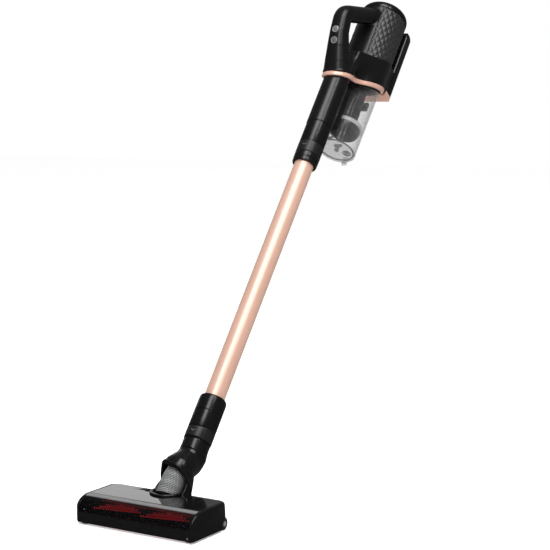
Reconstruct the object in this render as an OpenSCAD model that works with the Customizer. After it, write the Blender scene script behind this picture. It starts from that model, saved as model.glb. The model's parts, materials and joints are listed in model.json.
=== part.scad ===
// Cordless stick vacuum: hand unit, wand, neck and motor-driven floor head.
// The floor head stands on z = 0 with its front at y = 0 and its middle at x = 0.
// The stick leans back from the neck pivot towards +Y, in its rest pose.

/* [Floor head] */
// Width over the end caps
head_w = 240; // [220:1:270]
// Depth of the housing, front to rear
head_depth = 112; // [108:1:116]
// Height of the deck above the floor
head_h = 49; // [47:1:56]
// Height where the upright front turns into the curved window
front_h = 30; // [28:1:34]
// Depth of the curved window, front to crest
window_depth = 34; // [32:1:38]
// Height of the sole plate above the floor
sole_z = 3; // [2:0.5:4]
// Radius of the brush over its bristles
brush_r = 18.5; // [16:0.5:18.5]
// Radius of the rear wheels
wheel_r = 11; // [9:0.5:12]
// Radius of the front rollers
roller_r = 5; // [4:0.5:6]

/* [Neck] */
// Lean of the stick from upright
lean = 38; // [30:1:42]
// Lean of the swivel axis beyond the stick's own lean
swivel_tilt = 22; // [18:1:24]
// Distance of the neck pivot behind the front
pivot_y = 106; // [104:1:112]
// Height of the neck pivot
pivot_z = 40; // [38:1:42]
// Outside radius of the neck sleeve
neck_r = 25.7; // [25:0.1:27]

/* [Wand] */
// Outside radius of the wand tube
wand_r = 19; // [17.5:0.1:19.5]
// Height along the stick where the visible tube starts
wand_low = 201.5; // [195:0.5:205]
// Height along the stick where the visible tube ends
wand_high = 717.5; // [650:0.5:717.5]

/* [Hand unit] */
// Outside radius of the suction tube
tube_r = 25.9; // [25:0.1:27]
// Radius of the motor's filter cover
motor_r = 50; // [47:0.5:50]
// Distance of the motor's axis behind the stick's axis
motor_y = 80; // [78:1:80]
// Slope of the housing's base and top edges across the stick
slant = 24.2; // [22:0.1:26]
// Half width of the battery block
battery_half_w = 34.5; // [32:0.5:36]
// Radius of a thumb button
button_r = 7; // [6:0.5:7]

/* [Dust box] */
// Outside radius of the box at its base
box_r = 39.6; // [38:0.1:39.8]
// Distance of the box's axis behind the stick's axis
box_y = 86; // [85:1:87]

/* [Hidden] */

$fn = 96;
eps = 0.01;
gap = 0.3;
fit = 0.05;
wall = 2.5;
far = 400;

stick_y = 18.3;          // stick axis behind the pivot, in the leaning frame
seam_z = 83.4;           // swivel seam on the stick axis
sleeve_low = 113.5;
band_low = 115;
band_high = 137;
mouth_low = 170.5;
collar_high = 811.5;
release_low = 738.5;
release_high = 762.5;
spigot_len = 60;
spigot_r = 21.9;
air_r = 18;

trim_z = 942.5;          // top of the trim band on the stick axis
trim_h = 12;
ledge_z = 1003;          // top of the housing drum on the stick axis
cover_high = 1151.5;
dome_h = 32;
battery_front = 131.2;
battery_rear = 154;
battery_low = 1006;
battery_high = 1162.5;
box_low = 818.5;
lobe_r = 30;
drum_r = 50.5;
waist_r = 30;

brush_y = 27;
brush_z = 22;
cap_t = 6;
inner_w = head_w / 2 - cap_t;
socket_y = 101;
collar_y = 98;
arm_in = 31.9;
arm_out = 36.5;
elbow_lean = lean + swivel_tilt;
tube_off = -14.2;        // elbow tube axis against the pivot, in the elbow's frame
seam_up = 84.2;          // swivel seam above the pivot, in the elbow's frame

// ---------- frames and helpers ----------

// Frame of the leaning stick, with z along the stick axis
module on_stick() {
    translate([0, pivot_y, pivot_z]) rotate([-lean, 0, 0]) translate([0, stick_y, 0]) children();
}

// Frame of the elbow, with z along the swivel axis and its origin at the pivot
module on_elbow() {
    translate([0, pivot_y, pivot_z]) rotate([-elbow_lean, 0, 0]) children();
}

module tube(r_out, r_in, z_low, z_high) {
    difference() {
        translate([0, 0, z_low]) cylinder(r = r_out, h = z_high - z_low);
        translate([0, 0, z_low - 1]) cylinder(r = r_in, h = z_high - z_low + 2);
    }
}

// A sharp-edged block between two corners
module block(low, high) {
    translate(low) cube(high - low);
}

// Extrudes a profile drawn in Y and Z along X
module along_x(x_low, x_high) {
    translate([x_low, 0, 0]) rotate([90, 0, 90]) linear_extrude(x_high - x_low) children();
}

// Cylinder along X
module axle(x_low, x_high, y, z, r) {
    translate([x_low, y, z]) rotate([0, 90, 0]) cylinder(r = r, h = x_high - x_low);
}

// All space above the slanted plane that crosses the stick axis at z
module above(z) {
    translate([0, 0, z]) rotate([slant, 0, 0]) translate([-far / 2, -far / 2, 0]) cube(far);
}

// All space below the same plane
module below(z) {
    translate([0, 0, z]) rotate([slant, 0, 0]) translate([-far / 2, -far / 2, -far]) cube(far);
}

// A slanted slice of what is drawn, between two heights on the stick axis
module slanted_slice(z_low, z_high) {
    difference() {
        intersection() {
            children();
            above(z_low);
        }
        above(z_high);
    }
}

// Outline of the hand unit's body: tube lobe, motor lobe and the waists between them
module body_outline(grow = 0) {
    r1 = lobe_r + grow;
    r2 = drum_r + grow;
    rw = waist_r - grow;
    span = motor_y;
    wy = (pow(r1 + rw, 2) - pow(r2 + rw, 2) + span * span) / (2 * span);
    wx = sqrt(pow(r1 + rw, 2) - wy * wy);
    circle(r = r1);
    translate([0, span]) circle(r = r2);
    difference() {
        polygon([[0, 0], [wx, wy], [0, span], [-wx, wy]]);
        for (side = [-1, 1]) translate([side * wx, wy]) circle(r = rw);
    }
}

module body_prism(grow = 0) {
    translate([0, 0, 850]) linear_extrude(300) body_outline(grow);
}

// ---------- sweep of a rounded section along a path in the Y-Z plane ----------

sides = 24;
function power_of(v, p) = sign(v) * pow(abs(v), p);
function direction(a, b) = (b - a) / norm(b - a);
function tangent(path, i) =
    let (n = len(path), a = path[max(i - 1, 0)], b = path[min(i + 1, n - 1)])
    direction([a[0], a[1]], [b[0], b[1]]);
function ring(station, t, inset) =
    [for (k = [0:sides - 1])
        let (a = 360 * k / sides,
             sx = (station[2] - inset) * power_of(cos(a), 0.8),
             sn = (station[3] - inset) * power_of(sin(a), 0.8))
        [sx, station[0] - sn * t[1], station[1] + sn * t[0]]];

// Stations are [y, z, half width, half thickness]
module sweep(path, inset = 0) {
    n = len(path);
    points = [for (i = [0:n - 1]) each ring(path[i], tangent(path, i), inset)];
    skin = [for (i = [0:n - 2], k = [0:sides - 1])
        let (a = i * sides + k, b = i * sides + (k + 1) % sides)
        each [[a, b, b + sides], [a, b + sides, a + sides]]];
    low_cap = [[for (k = [sides - 1:-1:0]) k]];
    high_cap = [[for (k = [0:sides - 1]) (n - 1) * sides + k]];
    polyhedron(points, concat(skin, low_cap, high_cap), convexity = 6);
}

bend_r = 26;
bend_y = -31.9;
bend_z = 1040;
grip_w = 18;
grip_t = 17;
bar_dir = [cos(lean), sin(lean)];
bar_start = [bend_y - bend_r * sin(lean), bend_z + bend_r * cos(lean)];
handle_path = concat(
    [[-2, 922, 28, 28], [-7, 944, 27.5, 27.5], [-21, 962, 24.5, 23.5], [-38, 986, 20.5, 19.5],
     [-51, 1010, grip_w + 0.5, grip_t + 0.5]],
    [for (a = [190:-10.33:128]) [bend_y + bend_r * cos(a), bend_z + bend_r * sin(a), grip_w, grip_t]],
    [for (d = [20, 50, 80, 110]) [bar_start[0] + d * bar_dir[0], bar_start[1] + d * bar_dir[1], grip_w, grip_t]]
);

// ---------- hand unit ----------

// Suction tube with the side duct that carries the dirt into the dust box
module suction_tube() {
    color("#161616") on_stick() difference() {
        union() {
            tube(tube_r, 20, collar_high + gap, 960);
            difference() {
                block([-9, 20, 832], [9, 60, 922]);
                cylinder(r = 22, h = 1000);
                translate([0, box_y, 0]) cylinder(r = box_r + 3.4, h = 1000);
            }
        }
        translate([0, 0, collar_high]) cylinder(r = spigot_r + fit, h = spigot_len + 1);
        block([-6.5, 15, 880], [6.5, 60, 915]);
        above(trim_z - 1);
    }
}

module trim_band() {
    color("#d9a58f") on_stick() difference() {
        slanted_slice(trim_z - trim_h, trim_z) body_prism(1.2);
        translate([0, 0, 840]) linear_extrude(290) body_outline(-wall);
        block([-far, battery_front - 0.7, 900], [far, far, 1100]);
    }
}

// Plate that closes the housing below and carries the dust box
module housing_floor() {
    color("#202020") on_stick() difference() {
        slanted_slice(trim_z - trim_h + 2, trim_z - trim_h + 5) body_prism(-wall - gap);
        cylinder(r = tube_r + fit, h = 1000);
        translate([0, box_y, 0]) cylinder(r = 15, h = 1000);
    }
}

split_y = 6;             // upright joint between the handle's foot and the drum

module drum() {
    difference() {
        slanted_slice(trim_z + eps, ledge_z) body_prism(0);
        difference() {
            slanted_slice(trim_z - 1, ledge_z - wall) body_prism(-wall);
            block([-far, -far, 900], [far, split_y + wall, 1100]);
        }
        translate([0, motor_y, 900]) cylinder(r = motor_r - 3.2, h = far);
        block([-far, -far, 900], [far, split_y, 1100]);
    }
}

module housing_left() {
    color("#141414") on_stick() difference() {
        drum();
        block([0, -far, 800], [far, far, 1200]);
    }
}

module housing_right() {
    color("#141414") on_stick() difference() {
        drum();
        block([-far, -far, 800], [0, far, 1200]);
    }
}

// Smooth casing round the motor, with the bare spine that faces the fingers
spine_half = 24;
module spine_wedge(half) {
    linear_extrude(far) polygon([[0, 0], [-90 * tan(half), -90], [90 * tan(half), -90]]);
}

module motor_casing() {
    color("#0d0d0d") on_stick() union() {
        difference() {
            translate([0, motor_y, 0]) tube(motor_r - 4, motor_r - 6, 960, 1147);
            below(trim_z - trim_h + 5.3);
        }
        difference() {
            intersection() {
                translate([0, motor_y, 0]) tube(motor_r, motor_r - 4.5, 985, cover_high - 0.4);
                translate([0, motor_y, 900]) spine_wedge(spine_half);
            }
            below(ledge_z + 0.05);
        }
    }
}

module fan_motor() {
    color("#8a8d90") on_stick() translate([0, motor_y, 0]) difference() {
        union() {
            translate([0, 0, 1035]) cylinder(r = 26, h = 48);
            translate([0, 0, 1040]) cylinder(r = 43.9, h = 6);
        }
        translate([0, 0, 1030]) cylinder(r = 4, h = 60);
    }
}

blades = 9;
module fan_impeller() {
    color("#c9ccd0") on_stick() translate([0, motor_y, 0]) {
        translate([0, 0, 1020]) cylinder(r = 3.9, h = 76);
        translate([0, 0, 1087]) cylinder(r = 36, h = 2.5);
        for (k = [0:blades - 1]) rotate([0, 0, k * 360 / blades])
            block([8, -0.8, 1089], [35, 0.8, 1099]);
        translate([0, 0, 1089]) cylinder(r = 9, h = 12);
    }
}

// Places of the two thumb buttons on the front of the grip: y, z and the turn of the face
thumbs = [[-67.4, 1004.8, 114], [-58.3, 984, 118]];
module at_thumb(i) {
    translate([0, thumbs[i][0], thumbs[i][1]]) rotate([thumbs[i][2], 0, 0]) children();
}

module handle_shell() {
    difference() {
        sweep(handle_path);
        sweep(handle_path, 2.6);
        below(trim_z + eps);
        translate([0, motor_y, 900]) cylinder(r = motor_r + 0.15, h = far);
        difference() {
            block([-far, split_y - 0.2, 900], [far, far, 1100]);
            above(ledge_z + 0.2);
        }
        for (i = [0, 1]) at_thumb(i) cylinder(r = button_r + 0.2, h = 12, center = true);
    }
}

module handle_left() {
    color("#121212") on_stick() difference() {
        handle_shell();
        block([0, -far, 800], [far, far, 1300]);
    }
}

module handle_right() {
    color("#121212") on_stick() difference() {
        handle_shell();
        block([-far, -far, 800], [0, far, 1300]);
    }
}

module power_button() {
    color("#9a9c9e") on_stick() at_thumb(0) translate([0, 0, -4]) cylinder(r = button_r, h = 5.2);
}

module speed_button() {
    color("#7c7e80") on_stick() at_thumb(1) translate([0, 0, -4]) cylinder(r = button_r, h = 5.2);
}

module button_board() {
    color("#2e6b3c") on_stick() at_thumb(0) block([-7, -30, -9], [7, 3, -7.5]);
}

module control_board() {
    color("#2e6b3c") on_stick() block([-16, 24, 958], [16, 25.6, 1000]);
}

module filter_cover() {
    color("#343434") on_stick() difference() {
        translate([0, motor_y, 0]) tube(motor_r, motor_r - 3.4, 985, cover_high);
        translate([0, motor_y, 900]) spine_wedge(spine_half + 0.5);
        below(ledge_z + 0.5);
    }
}

module dome(r, h) {
    rotate_extrude() polygon(concat([[0, 0]], [for (a = [0:6:84]) [r * cos(a), h * sin(a)]], [[0, h]]));
}

module filter_cap() {
    color("#0f0f0f") on_stick() translate([0, motor_y, cover_high]) difference() {
        dome(motor_r, dome_h);
        translate([0, 0, -eps]) dome(motor_r - 2.5, dome_h - 2.5);
    }
}

module fine_filter() {
    color("#e8e6df") on_stick() translate([0, motor_y, 0]) tube(40, 12, 1148, 1164);
}

module battery_case() {
    color("#131313") on_stick() difference() {
        block([-battery_half_w, battery_front, battery_low], [battery_half_w, battery_rear, battery_high]);
        block([-battery_half_w + 2, battery_front + 2, battery_low + 2],
              [battery_half_w - 2, battery_rear - 2, battery_high - 2]);
        block([-8.3, battery_rear - 3, 1016.7], [8.3, battery_rear + 1, 1033.3]);
    }
}

module battery_foot() {
    color("#d9a58f") on_stick()
        block([-battery_half_w, battery_front, battery_low - 12], [battery_half_w, battery_rear, battery_low]);
}

module battery_cells() {
    color("#2d5f9a") on_stick() for (x = [-19.6, 0, 19.6], z = [1011, 1080])
        translate([x, (battery_front + battery_rear) / 2 - 0.2, z]) cylinder(r = 9.15, h = 65);
}

module battery_strips() {
    color("#6c6c6c") on_stick() for (side = [-1, 1])
        block([side > 0 ? battery_half_w : -battery_half_w - 0.5, battery_front, 1056],
              [side > 0 ? battery_half_w + 0.5 : -battery_half_w, battery_front + 3, 1151]);
}

module battery_latch() {
    color("#555555") on_stick() block([-8, battery_rear - 1.3, 1017], [8, battery_rear + 0.8, 1033]);
}

// ---------- dust box ----------

box_high_r = 41.4;
module box_cone(inset) {
    translate([0, box_y, box_low]) cylinder(r1 = box_r - inset, r2 = box_high_r - inset, h = 170);
}

hinge_y = 41.6;
hinge_z = 816;
module dust_box() {
    color([0.75, 0.78, 0.8, 0.4]) on_stick() difference() {
        union() {
            difference() {
                box_cone(0);
                translate([0, 0, -eps]) box_cone(2.2);
                above(trim_z - trim_h - 0.6);
            }
            for (side = [-1, 1]) hull() {
                axle(side > 0 ? 5.3 : -8.5, side > 0 ? 8.5 : -5.3, hinge_y, hinge_z, 2.6);
                axle(side > 0 ? 5.3 : -8.5, side > 0 ? 8.5 : -5.3, hinge_y + 4.6, box_low + 4, 1.6);
            }
        }
        axle(-20, 20, hinge_y, hinge_z, 1.4);
        block([-8.3, box_y + 36, 950], [8.3, box_y + 60, 968]);
    }
}

module cyclone_mesh() {
    color("#2b2b2b") on_stick() difference() {
        translate([0, box_y, 0]) tube(17, 15, 884, 985);
        above(trim_z - trim_h - 0.6);
    }
}

module cyclone_ring() {
    color("#b9bbbb") on_stick() translate([0, box_y, 0]) tube(32, 17 + eps, 874, 884);
}

module cyclone_cup() {
    color("#262626") on_stick() translate([0, box_y, 0]) union() {
        tube(31.5, 29, 860, 874);
        tube(29 + eps, 10, 868, 871);
        tube(12, 10, 846, 874);
    }
}

module box_release() {
    color("#4a4a4a") on_stick() block([-8, box_y + 36.3, 950.3], [8, box_y + 43.4, 967.7]);
}

module base_flap() {
    color("#9b9d9d") on_stick() difference() {
        union() {
            translate([0, box_y, box_low - 3]) cylinder(r = box_r, h = 2.7);
            block([-4.9, hinge_y, hinge_z - 0.5], [4.9, hinge_y + 8, hinge_z + 2]);
            axle(-4.9, 4.9, hinge_y, hinge_z, 2.5);
            block([-5, box_y + 36, box_low - 3], [5, box_y + 41.4, box_low - 0.6]);
        }
        axle(-20, 20, hinge_y, hinge_z, 1.45);
    }
}

module flap_pin() {
    color("#9a9c9e") on_stick() axle(-8.5, 8.5, hinge_y, hinge_z, 1.4);
}

// Cross-headed post in the middle of the flap
module flap_post() {
    color("#101010") on_stick() union() {
        translate([0, box_y, box_low - 0.3]) cylinder(r = 4, h = 14);
        block([-9, box_y - 2, box_low + 10], [9, box_y + 2, box_low + 13.7]);
    }
}

module flap_seal() {
    color("#0b0b0b") on_stick() translate([0, box_y, 0]) tube(box_r - 2.8, box_r - 6, box_low - 0.3, box_low + 1.5);
}

module flap_catch() {
    color("#333333") on_stick() union() {
        block([-5, box_y + 41.8, box_low - 6], [5, box_y + 44.6, box_low + 12]);
        block([-5, box_y + 40.2, box_low + 2], [5, box_y + 41.9, box_low + 12]);
    }
}

// ---------- wand ----------

module wand_tube() {
    color("#e0a990") on_stick() tube(wand_r, wand_r - 1, 141, release_low + 2);
}

module release_pocket(z_low, z_high) {
    block([-15.9, -40, z_low - 0.4], [15.9, -14, z_high + 0.4]);
}

module wand_collar() {
    color("#1a1a1a") on_stick() difference() {
        union() {
            tube(25, wand_r, wand_high, release_low + 2);
            tube(25, air_r, release_low + 2, collar_high);
            tube(spigot_r, air_r, collar_high - 1, collar_high + spigot_len - 2);
        }
        difference() {
            release_pocket(release_low, release_high);
            cylinder(r = 20.4, h = 1000);
        }
    }
}

module release_plate(r_out, z_low, z_high) {
    intersection() {
        tube(r_out, r_out - 2.8, z_low, z_high);
        block([-15.5, -40, z_low], [15.5, -14, z_high]);
    }
}

module wand_release() {
    color("#3a3a3a") on_stick() release_plate(25.3, release_low, release_high);
}

// ---------- neck ----------

module neck_mouth() {
    color("#1a1a1a") on_stick() rotate_extrude() difference() {
        polygon([[wand_r + fit, mouth_low], [neck_r, mouth_low], [neck_r - 1, wand_low - 6],
                 [neck_r - 3, wand_low - 1.5], [wand_r + 3, wand_low], [wand_r + fit, wand_low]]);
    }
}

module neck_sleeve() {
    color("#181818") on_stick() difference() {
        tube(neck_r, air_r, sleeve_low, mouth_low);
        translate([0, 0, 140]) cylinder(r = wand_r + fit, h = 100);
        tube(neck_r + 1, neck_r - 1.5, band_low, band_high);
        difference() {
            release_pocket(band_low + 2, band_high - 2);
            cylinder(r = 20.4, h = 1000);
        }
    }
}

module neck_band() {
    color("#2c2c2c") on_stick() difference() {
        tube(neck_r, neck_r - 1.5 + eps, band_low, band_high);
        release_pocket(band_low + 2, band_high - 2);
    }
}

module neck_release() {
    color("#3a3a3a") on_stick() release_plate(neck_r + 0.3, band_low + 2, band_high - 2);
}

module neck_lower() {
    color("#181818") difference() {
        hull() {
            on_stick() translate([0, 0, sleeve_low - 3]) cylinder(r = neck_r - 0.8, h = 3, $fn = 48);
            on_elbow() translate([0, tube_off, seam_up + gap]) cylinder(r = 26, h = 2, $fn = 48);
        }
        on_elbow() translate([0, tube_off, seam_up - 1]) cylinder(r = 21.5, h = 13);
        on_stick() translate([0, 0, 90]) cylinder(r = air_r, h = 40);
    }
}

module swivel_ring() {
    color("#8d8f91") on_elbow() translate([0, tube_off, 0]) tube(21.5, 18.5, seam_up - 12, seam_up + 11.5);
}

// Frame of the elbow's fork, with z up the hose and its origin at the pivot
fork_lean = lean + 2;
module on_fork() {
    translate([0, pivot_y, pivot_z]) rotate([-fork_lean, 0, 0]) children();
}

fork_off = -4;
module fork_ring(z, half_x, half_y, h) {
    on_fork() translate([0, fork_off, z]) scale([half_x / half_y, 1, 1]) cylinder(r = half_y, h = h, $fn = 48);
}

module elbow() {
    color("#151515") difference() {
        union() {
            hull() {
                fork_ring(24, arm_out, 26.5, 4);
                fork_ring(44, 33, 26.5, 2);
            }
            hull() {
                fork_ring(44, 33, 26.5, 2);
                on_elbow() translate([0, tube_off, seam_up - 4]) cylinder(r = 26, h = 4, $fn = 48);
            }
            for (side = [-1, 1]) hull() {
                axle(side > 0 ? arm_in : -arm_out, side > 0 ? arm_out : -arm_in, pivot_y, pivot_z, 12.5);
                on_fork() block([side > 0 ? arm_in : -arm_out, -14, 27], [side > 0 ? arm_out : -arm_in, 8, 31]);
            }
        }
        hull() {
            fork_ring(18, arm_in, 24, 8);
            fork_ring(43, 27, 23.5, 2);
        }
        hull() {
            fork_ring(43, 27, 23.5, 2);
            on_elbow() translate([0, tube_off, seam_up - 12]) cylinder(r = 22, h = 1, $fn = 48);
        }
        on_elbow() translate([0, tube_off, seam_up - 13]) cylinder(r = 21.5 + fit, h = 20);
        axle(-60, 60, pivot_y, pivot_z, 4 + fit);
        hose_solid(hose_r + 0.7);
        on_fork() translate([-arm_in, -4, 20]) rotate([-32, 0, 0]) translate([0, -60, -40]) cube([2 * arm_in, 60, 40]);
    }
}

module pivot_pins() {
    color("#9a9c9e") for (side = [-1, 1])
        axle(side > 0 ? 25 : -arm_out, side > 0 ? arm_out : -25, pivot_y, pivot_z, 4);
}

hose_r = 21.5;
hose_sides = 16;
hose_rings = 12;
// Centre line of the hose: out of the socket, bending back into the elbow
hose_start = [socket_y, 50];
// The hose's way leans more than its rings, which start level in the collar
function hose_turn(i) = (elbow_lean + 4) * i / hose_rings;
function hose_way(i) = 40 + 34 * i / hose_rings;
function hose_step(i) = 5.83 * [sin(hose_way(i)), cos(hose_way(i))];
function hose_centre(i) = i == 0 ? hose_start : hose_centre(i - 1) + hose_step(i - 0.5);

module hose_solid(r) {
    points = [for (i = [0:hose_rings], k = [0:hose_sides - 1])
        let (a = 360 * k / hose_sides, c = hose_centre(i), t = hose_turn(i))
        [r * cos(a), c[0] + r * sin(a) * cos(t), c[1] - r * sin(a) * sin(t)]];
    skin = [for (i = [0:hose_rings - 1], k = [0:hose_sides - 1])
        let (a = i * hose_sides + k, b = i * hose_sides + (k + 1) % hose_sides)
        each [[a, a + hose_sides, b + hose_sides], [a, b + hose_sides, b]]];
    low_cap = [[for (k = [0:hose_sides - 1]) k]];
    high_cap = [[for (k = [hose_sides - 1:-1:0]) hose_rings * hose_sides + k]];
    polyhedron(points, concat(skin, low_cap, high_cap), convexity = 4);
}

module hose() {
    color("#85878a") hose_solid(hose_r);
}

// ---------- floor head ----------

module hose_collar() {
    color("#0e0e0e") difference() {
        translate([0, collar_y, head_h + 0.3]) cylinder(r = 31.5, h = 3.2);
        translate([0, socket_y, 0]) cylinder(r = 24.2, h = 100);
    }
}

module hose_socket() {
    color("#141414") difference() {
        translate([0, socket_y, 0]) tube(28.5, 24.2, sole_z + 5, head_h + 0.3);
        block([-15, 60, 10], [15, 90, 38]);
        axle(-60, 60, pivot_y, pivot_z, 4);
    }
}

corner_r = 7;
// Outline of the head seen from the side, pulled in by i
function head_arc(i) = [for (a = [180:-7.5:90])
    [window_depth + (window_depth - i) * cos(a), front_h + (head_h - front_h - i) * sin(a)]];
function head_corner(i) = [for (a = [90:-15:0])
    [head_depth - corner_r + (corner_r - i) * cos(a), head_h - corner_r + (corner_r - i) * sin(a)]];
function head_profile(i, low) =
    concat([[i, low]], head_arc(i), head_corner(i), [[head_depth - i, low]]);

module head_skin() {
    difference() {
        polygon(head_profile(0, sole_z));
        polygon(head_profile(wall, -5));
    }
}

// The stretch of the skin inside a window of Y and Z
module skin_piece(y_low, y_high, z_low, z_high) {
    intersection() {
        head_skin();
        translate([y_low, z_low]) square([y_high - y_low, z_high - z_low]);
    }
}

seam_front = 23;
crest_low = window_depth - 19;
crest_high = window_depth - 4;
chamber_y = 49;

mouth_half = 101;
wheel_x = 112;
wheel_y = 100;
plan_r = 18;             // rounding of the rear corners in plan
roller_x = 107.5;
roller_y = 9;

module wheel_arches() {
    for (side = [-1, 1])
        block([side * wheel_x - 7, wheel_y - 14, 0], [side * wheel_x + 7, wheel_y + 20, 24]);
}

// Everything outside the rounded rear corners
module corner_cut() {
    for (side = [-1, 1]) difference() {
        block([side > 0 ? head_w / 2 - plan_r : -far, head_depth - plan_r, -1],
              [side > 0 ? far : plan_r - head_w / 2, far, 90]);
        translate([side * (head_w / 2 - plan_r), head_depth - plan_r, -2]) cylinder(r = plan_r, h = 100);
    }
}

module head_cover() {
    color("#1b1b1b") difference() {
        union() {
            along_x(-inner_w, inner_w) skin_piece(crest_high, 130, 14, 60);
            for (x = [-inner_w, inner_w - 12]) along_x(x, x + 12) intersection() {
                polygon(head_profile(0, sole_z));
                translate([head_depth - plan_r, 24.1]) square([plan_r, 40]);
            }
            block([-inner_w, chamber_y, 9], [inner_w, chamber_y + 2, head_h - wall]);
        }
        translate([0, socket_y, 0]) cylinder(r = 28.5 + eps, h = 100);
        block([-15, 40, 10], [15, 60, 38]);
        block([-arm_out - 2, pivot_y - 20, 9], [arm_out + 2, far, 60]);
        belt_slot();
        wheel_arches();
        corner_cut();
    }
}

// Way through the chamber wall for the drive belt
module belt_slot() {
    block([belt_low - 1.5, chamber_y - 4, 11], [belt_high + 1.5, chamber_y + 6, 33]);
}

module head_base() {
    color("#101010") difference() {
        union() {
            block([-inner_w, wall, sole_z], [inner_w, head_depth, sole_z + 3]);
            block([-inner_w, head_depth - wall, sole_z], [inner_w, head_depth, 14]);
            block([-inner_w, chamber_y, sole_z], [inner_w, chamber_y + 2, 9]);
            translate([0, socket_y, sole_z]) cylinder(r = 28.5, h = 5);
            for (side = [-1, 1]) {
                block([side * wheel_x - (side > 0 ? 12 : -8), 84, sole_z],
                      [side * wheel_x + (side > 0 ? -8 : 12), wheel_y + 4, 16]);
                block([side * roller_x - 6.4, roller_y - 3, sole_z], [side * roller_x + 6.4, roller_y + 3, 8]);
            }
        }
        axle(-far, far, wheel_y, wheel_r, 2 + fit);
        axle(-far, far, roller_y, roller_r, 1.5 + fit);
        block([-mouth_half, wall + 0.7, 0], [mouth_half, chamber_y - 1, 20]);
        translate([0, socket_y, sole_z + 5]) cylinder(r = 28.5 + eps, h = 20);
        wheel_arches();
        corner_cut();
        for (side = [-1, 1])
            block([side * roller_x - 5.5, roller_y - 6, 0], [side * roller_x + 5.5, roller_y + 6, 20]);
    }
}

module front_bumper() {
    color("#151515") along_x(-inner_w, inner_w) skin_piece(-1, 10, sole_z, seam_front);
}

module brush_window() {
    color([0.2, 0.2, 0.2, 0.5]) along_x(-inner_w, inner_w) skin_piece(-1, crest_low, seam_front, 60);
}

module crest_strip() {
    color("#a9abad") along_x(-inner_w, inner_w) skin_piece(crest_low, crest_high, 40, 60);
}

module end_cap(x_low, x_high) {
    difference() {
        along_x(x_low, x_high) polygon(head_profile(0, sole_z));
        axle(-inner_w - 3, inner_w + 3, brush_y, brush_z, 4);
        for (side = [-1, 1]) axle(side * wheel_x - 8, side * wheel_x + 8, wheel_y, wheel_r, wheel_r + 1);
        corner_cut();
    }
}

module end_cap_left() {
    color("#121212") end_cap(-head_w / 2, -inner_w);
}

module end_cap_right() {
    color("#121212") end_cap(inner_w, head_w / 2);
}

belt_low = -111;
belt_high = -106;
brush_pulley_r = 7.5;
pinion_r = 4.5;
motor_y0 = 68;
motor_z0 = 25;

module brush_core() {
    color("#232323") union() {
        axle(-103, 103, brush_y, brush_z, 12);
        axle(-inner_w - 2.8, inner_w + 2.8, brush_y, brush_z, 3.95);
        axle(belt_low, belt_high, brush_y, brush_z, brush_pulley_r);
    }
}

tufts = 20;
module brush_bristles() {
    color("#c2252b") for (k = [0:tufts - 1], arm = [0:3])
        let (x = -98 + 196 * (k + 0.5) / tufts, turn = arm * 90 + abs(k - tufts / 2 + 0.5) * 9)
        translate([x, brush_y, brush_z]) rotate([turn, 0, 0])
            translate([0, 0, 12.02]) cylinder(r = 2.2, h = brush_r - 12.2, $fn = 8);
}

module brush_motor() {
    color("#77797b") difference() {
        axle(-98, -38, motor_y0, motor_z0, 15);
        axle(-100, -90, motor_y0, motor_z0, 2.5 + fit);
    }
}

module motor_pinion() {
    color("#c9ccd0") union() {
        axle(-112, -91, motor_y0, motor_z0, 2.5);
        axle(belt_low, belt_high, motor_y0, motor_z0, pinion_r);
    }
}

module belt_loop(x_low, x_high, grow) {
    hull() {
        axle(x_low, x_high, motor_y0, motor_z0, pinion_r + grow, $fn = 32);
        axle(x_low, x_high, brush_y, brush_z, brush_pulley_r + grow, $fn = 32);
    }
}

module drive_belt() {
    color("#1f1f1f") difference() {
        belt_loop(belt_low, belt_high, 1.6);
        belt_loop(belt_low - 1, belt_high + 1, 0.2);
    }
}

// Wheels with the stub axles that turn in the brackets of the base
module rear_wheels() {
    color("#1d1d1d") for (side = [-1, 1]) {
        axle(side * wheel_x - 6, side * wheel_x + 6, wheel_y, wheel_r, wheel_r);
        axle(side * wheel_x - (side > 0 ? 12 : 0), side * wheel_x + (side > 0 ? 0 : 12), wheel_y, wheel_r, 2);
    }
}

module front_rollers() {
    color("#1d1d1d") for (side = [-1, 1]) {
        axle(side * roller_x - 5, side * roller_x + 5, roller_y, roller_r, roller_r);
        axle(side * roller_x - 6.2, side * roller_x + 6.2, roller_y, roller_r, 1.5);
    }
}

suction_tube();
trim_band();
housing_left();
housing_right();
housing_floor();
motor_casing();
fan_motor();
fan_impeller();
handle_left();
handle_right();
power_button();
speed_button();
button_board();
control_board();
filter_cover();
filter_cap();
fine_filter();
battery_case();
battery_foot();
battery_cells();
battery_strips();
battery_latch();
dust_box();
cyclone_cup();
cyclone_ring();
cyclone_mesh();
box_release();
base_flap();
flap_pin();
flap_post();
flap_seal();
flap_catch();
wand_tube();
wand_collar();
wand_release();
neck_mouth();
neck_sleeve();
neck_band();
neck_release();
neck_lower();
swivel_ring();
elbow();
pivot_pins();
hose();
hose_collar();
hose_socket();
head_cover();
head_base();
front_bumper();
brush_window();
crest_strip();
end_cap_left();
end_cap_right();
brush_core();
brush_bristles();
brush_motor();
motor_pinion();
drive_belt();
rear_wheels();
front_rollers();
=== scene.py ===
"""Finished surfaces of a cordless stick vacuum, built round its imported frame.

Sizes inside the classes are millimetres in each sub-assembly's own frame; meshes are
written to the scene in metres.
"""

import json
import logging
import math
from dataclasses import dataclass
from enum import Enum
from typing import Any, Callable, Sequence

import bmesh
import bpy
import numpy as np
from mathutils import Matrix, Vector

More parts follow.
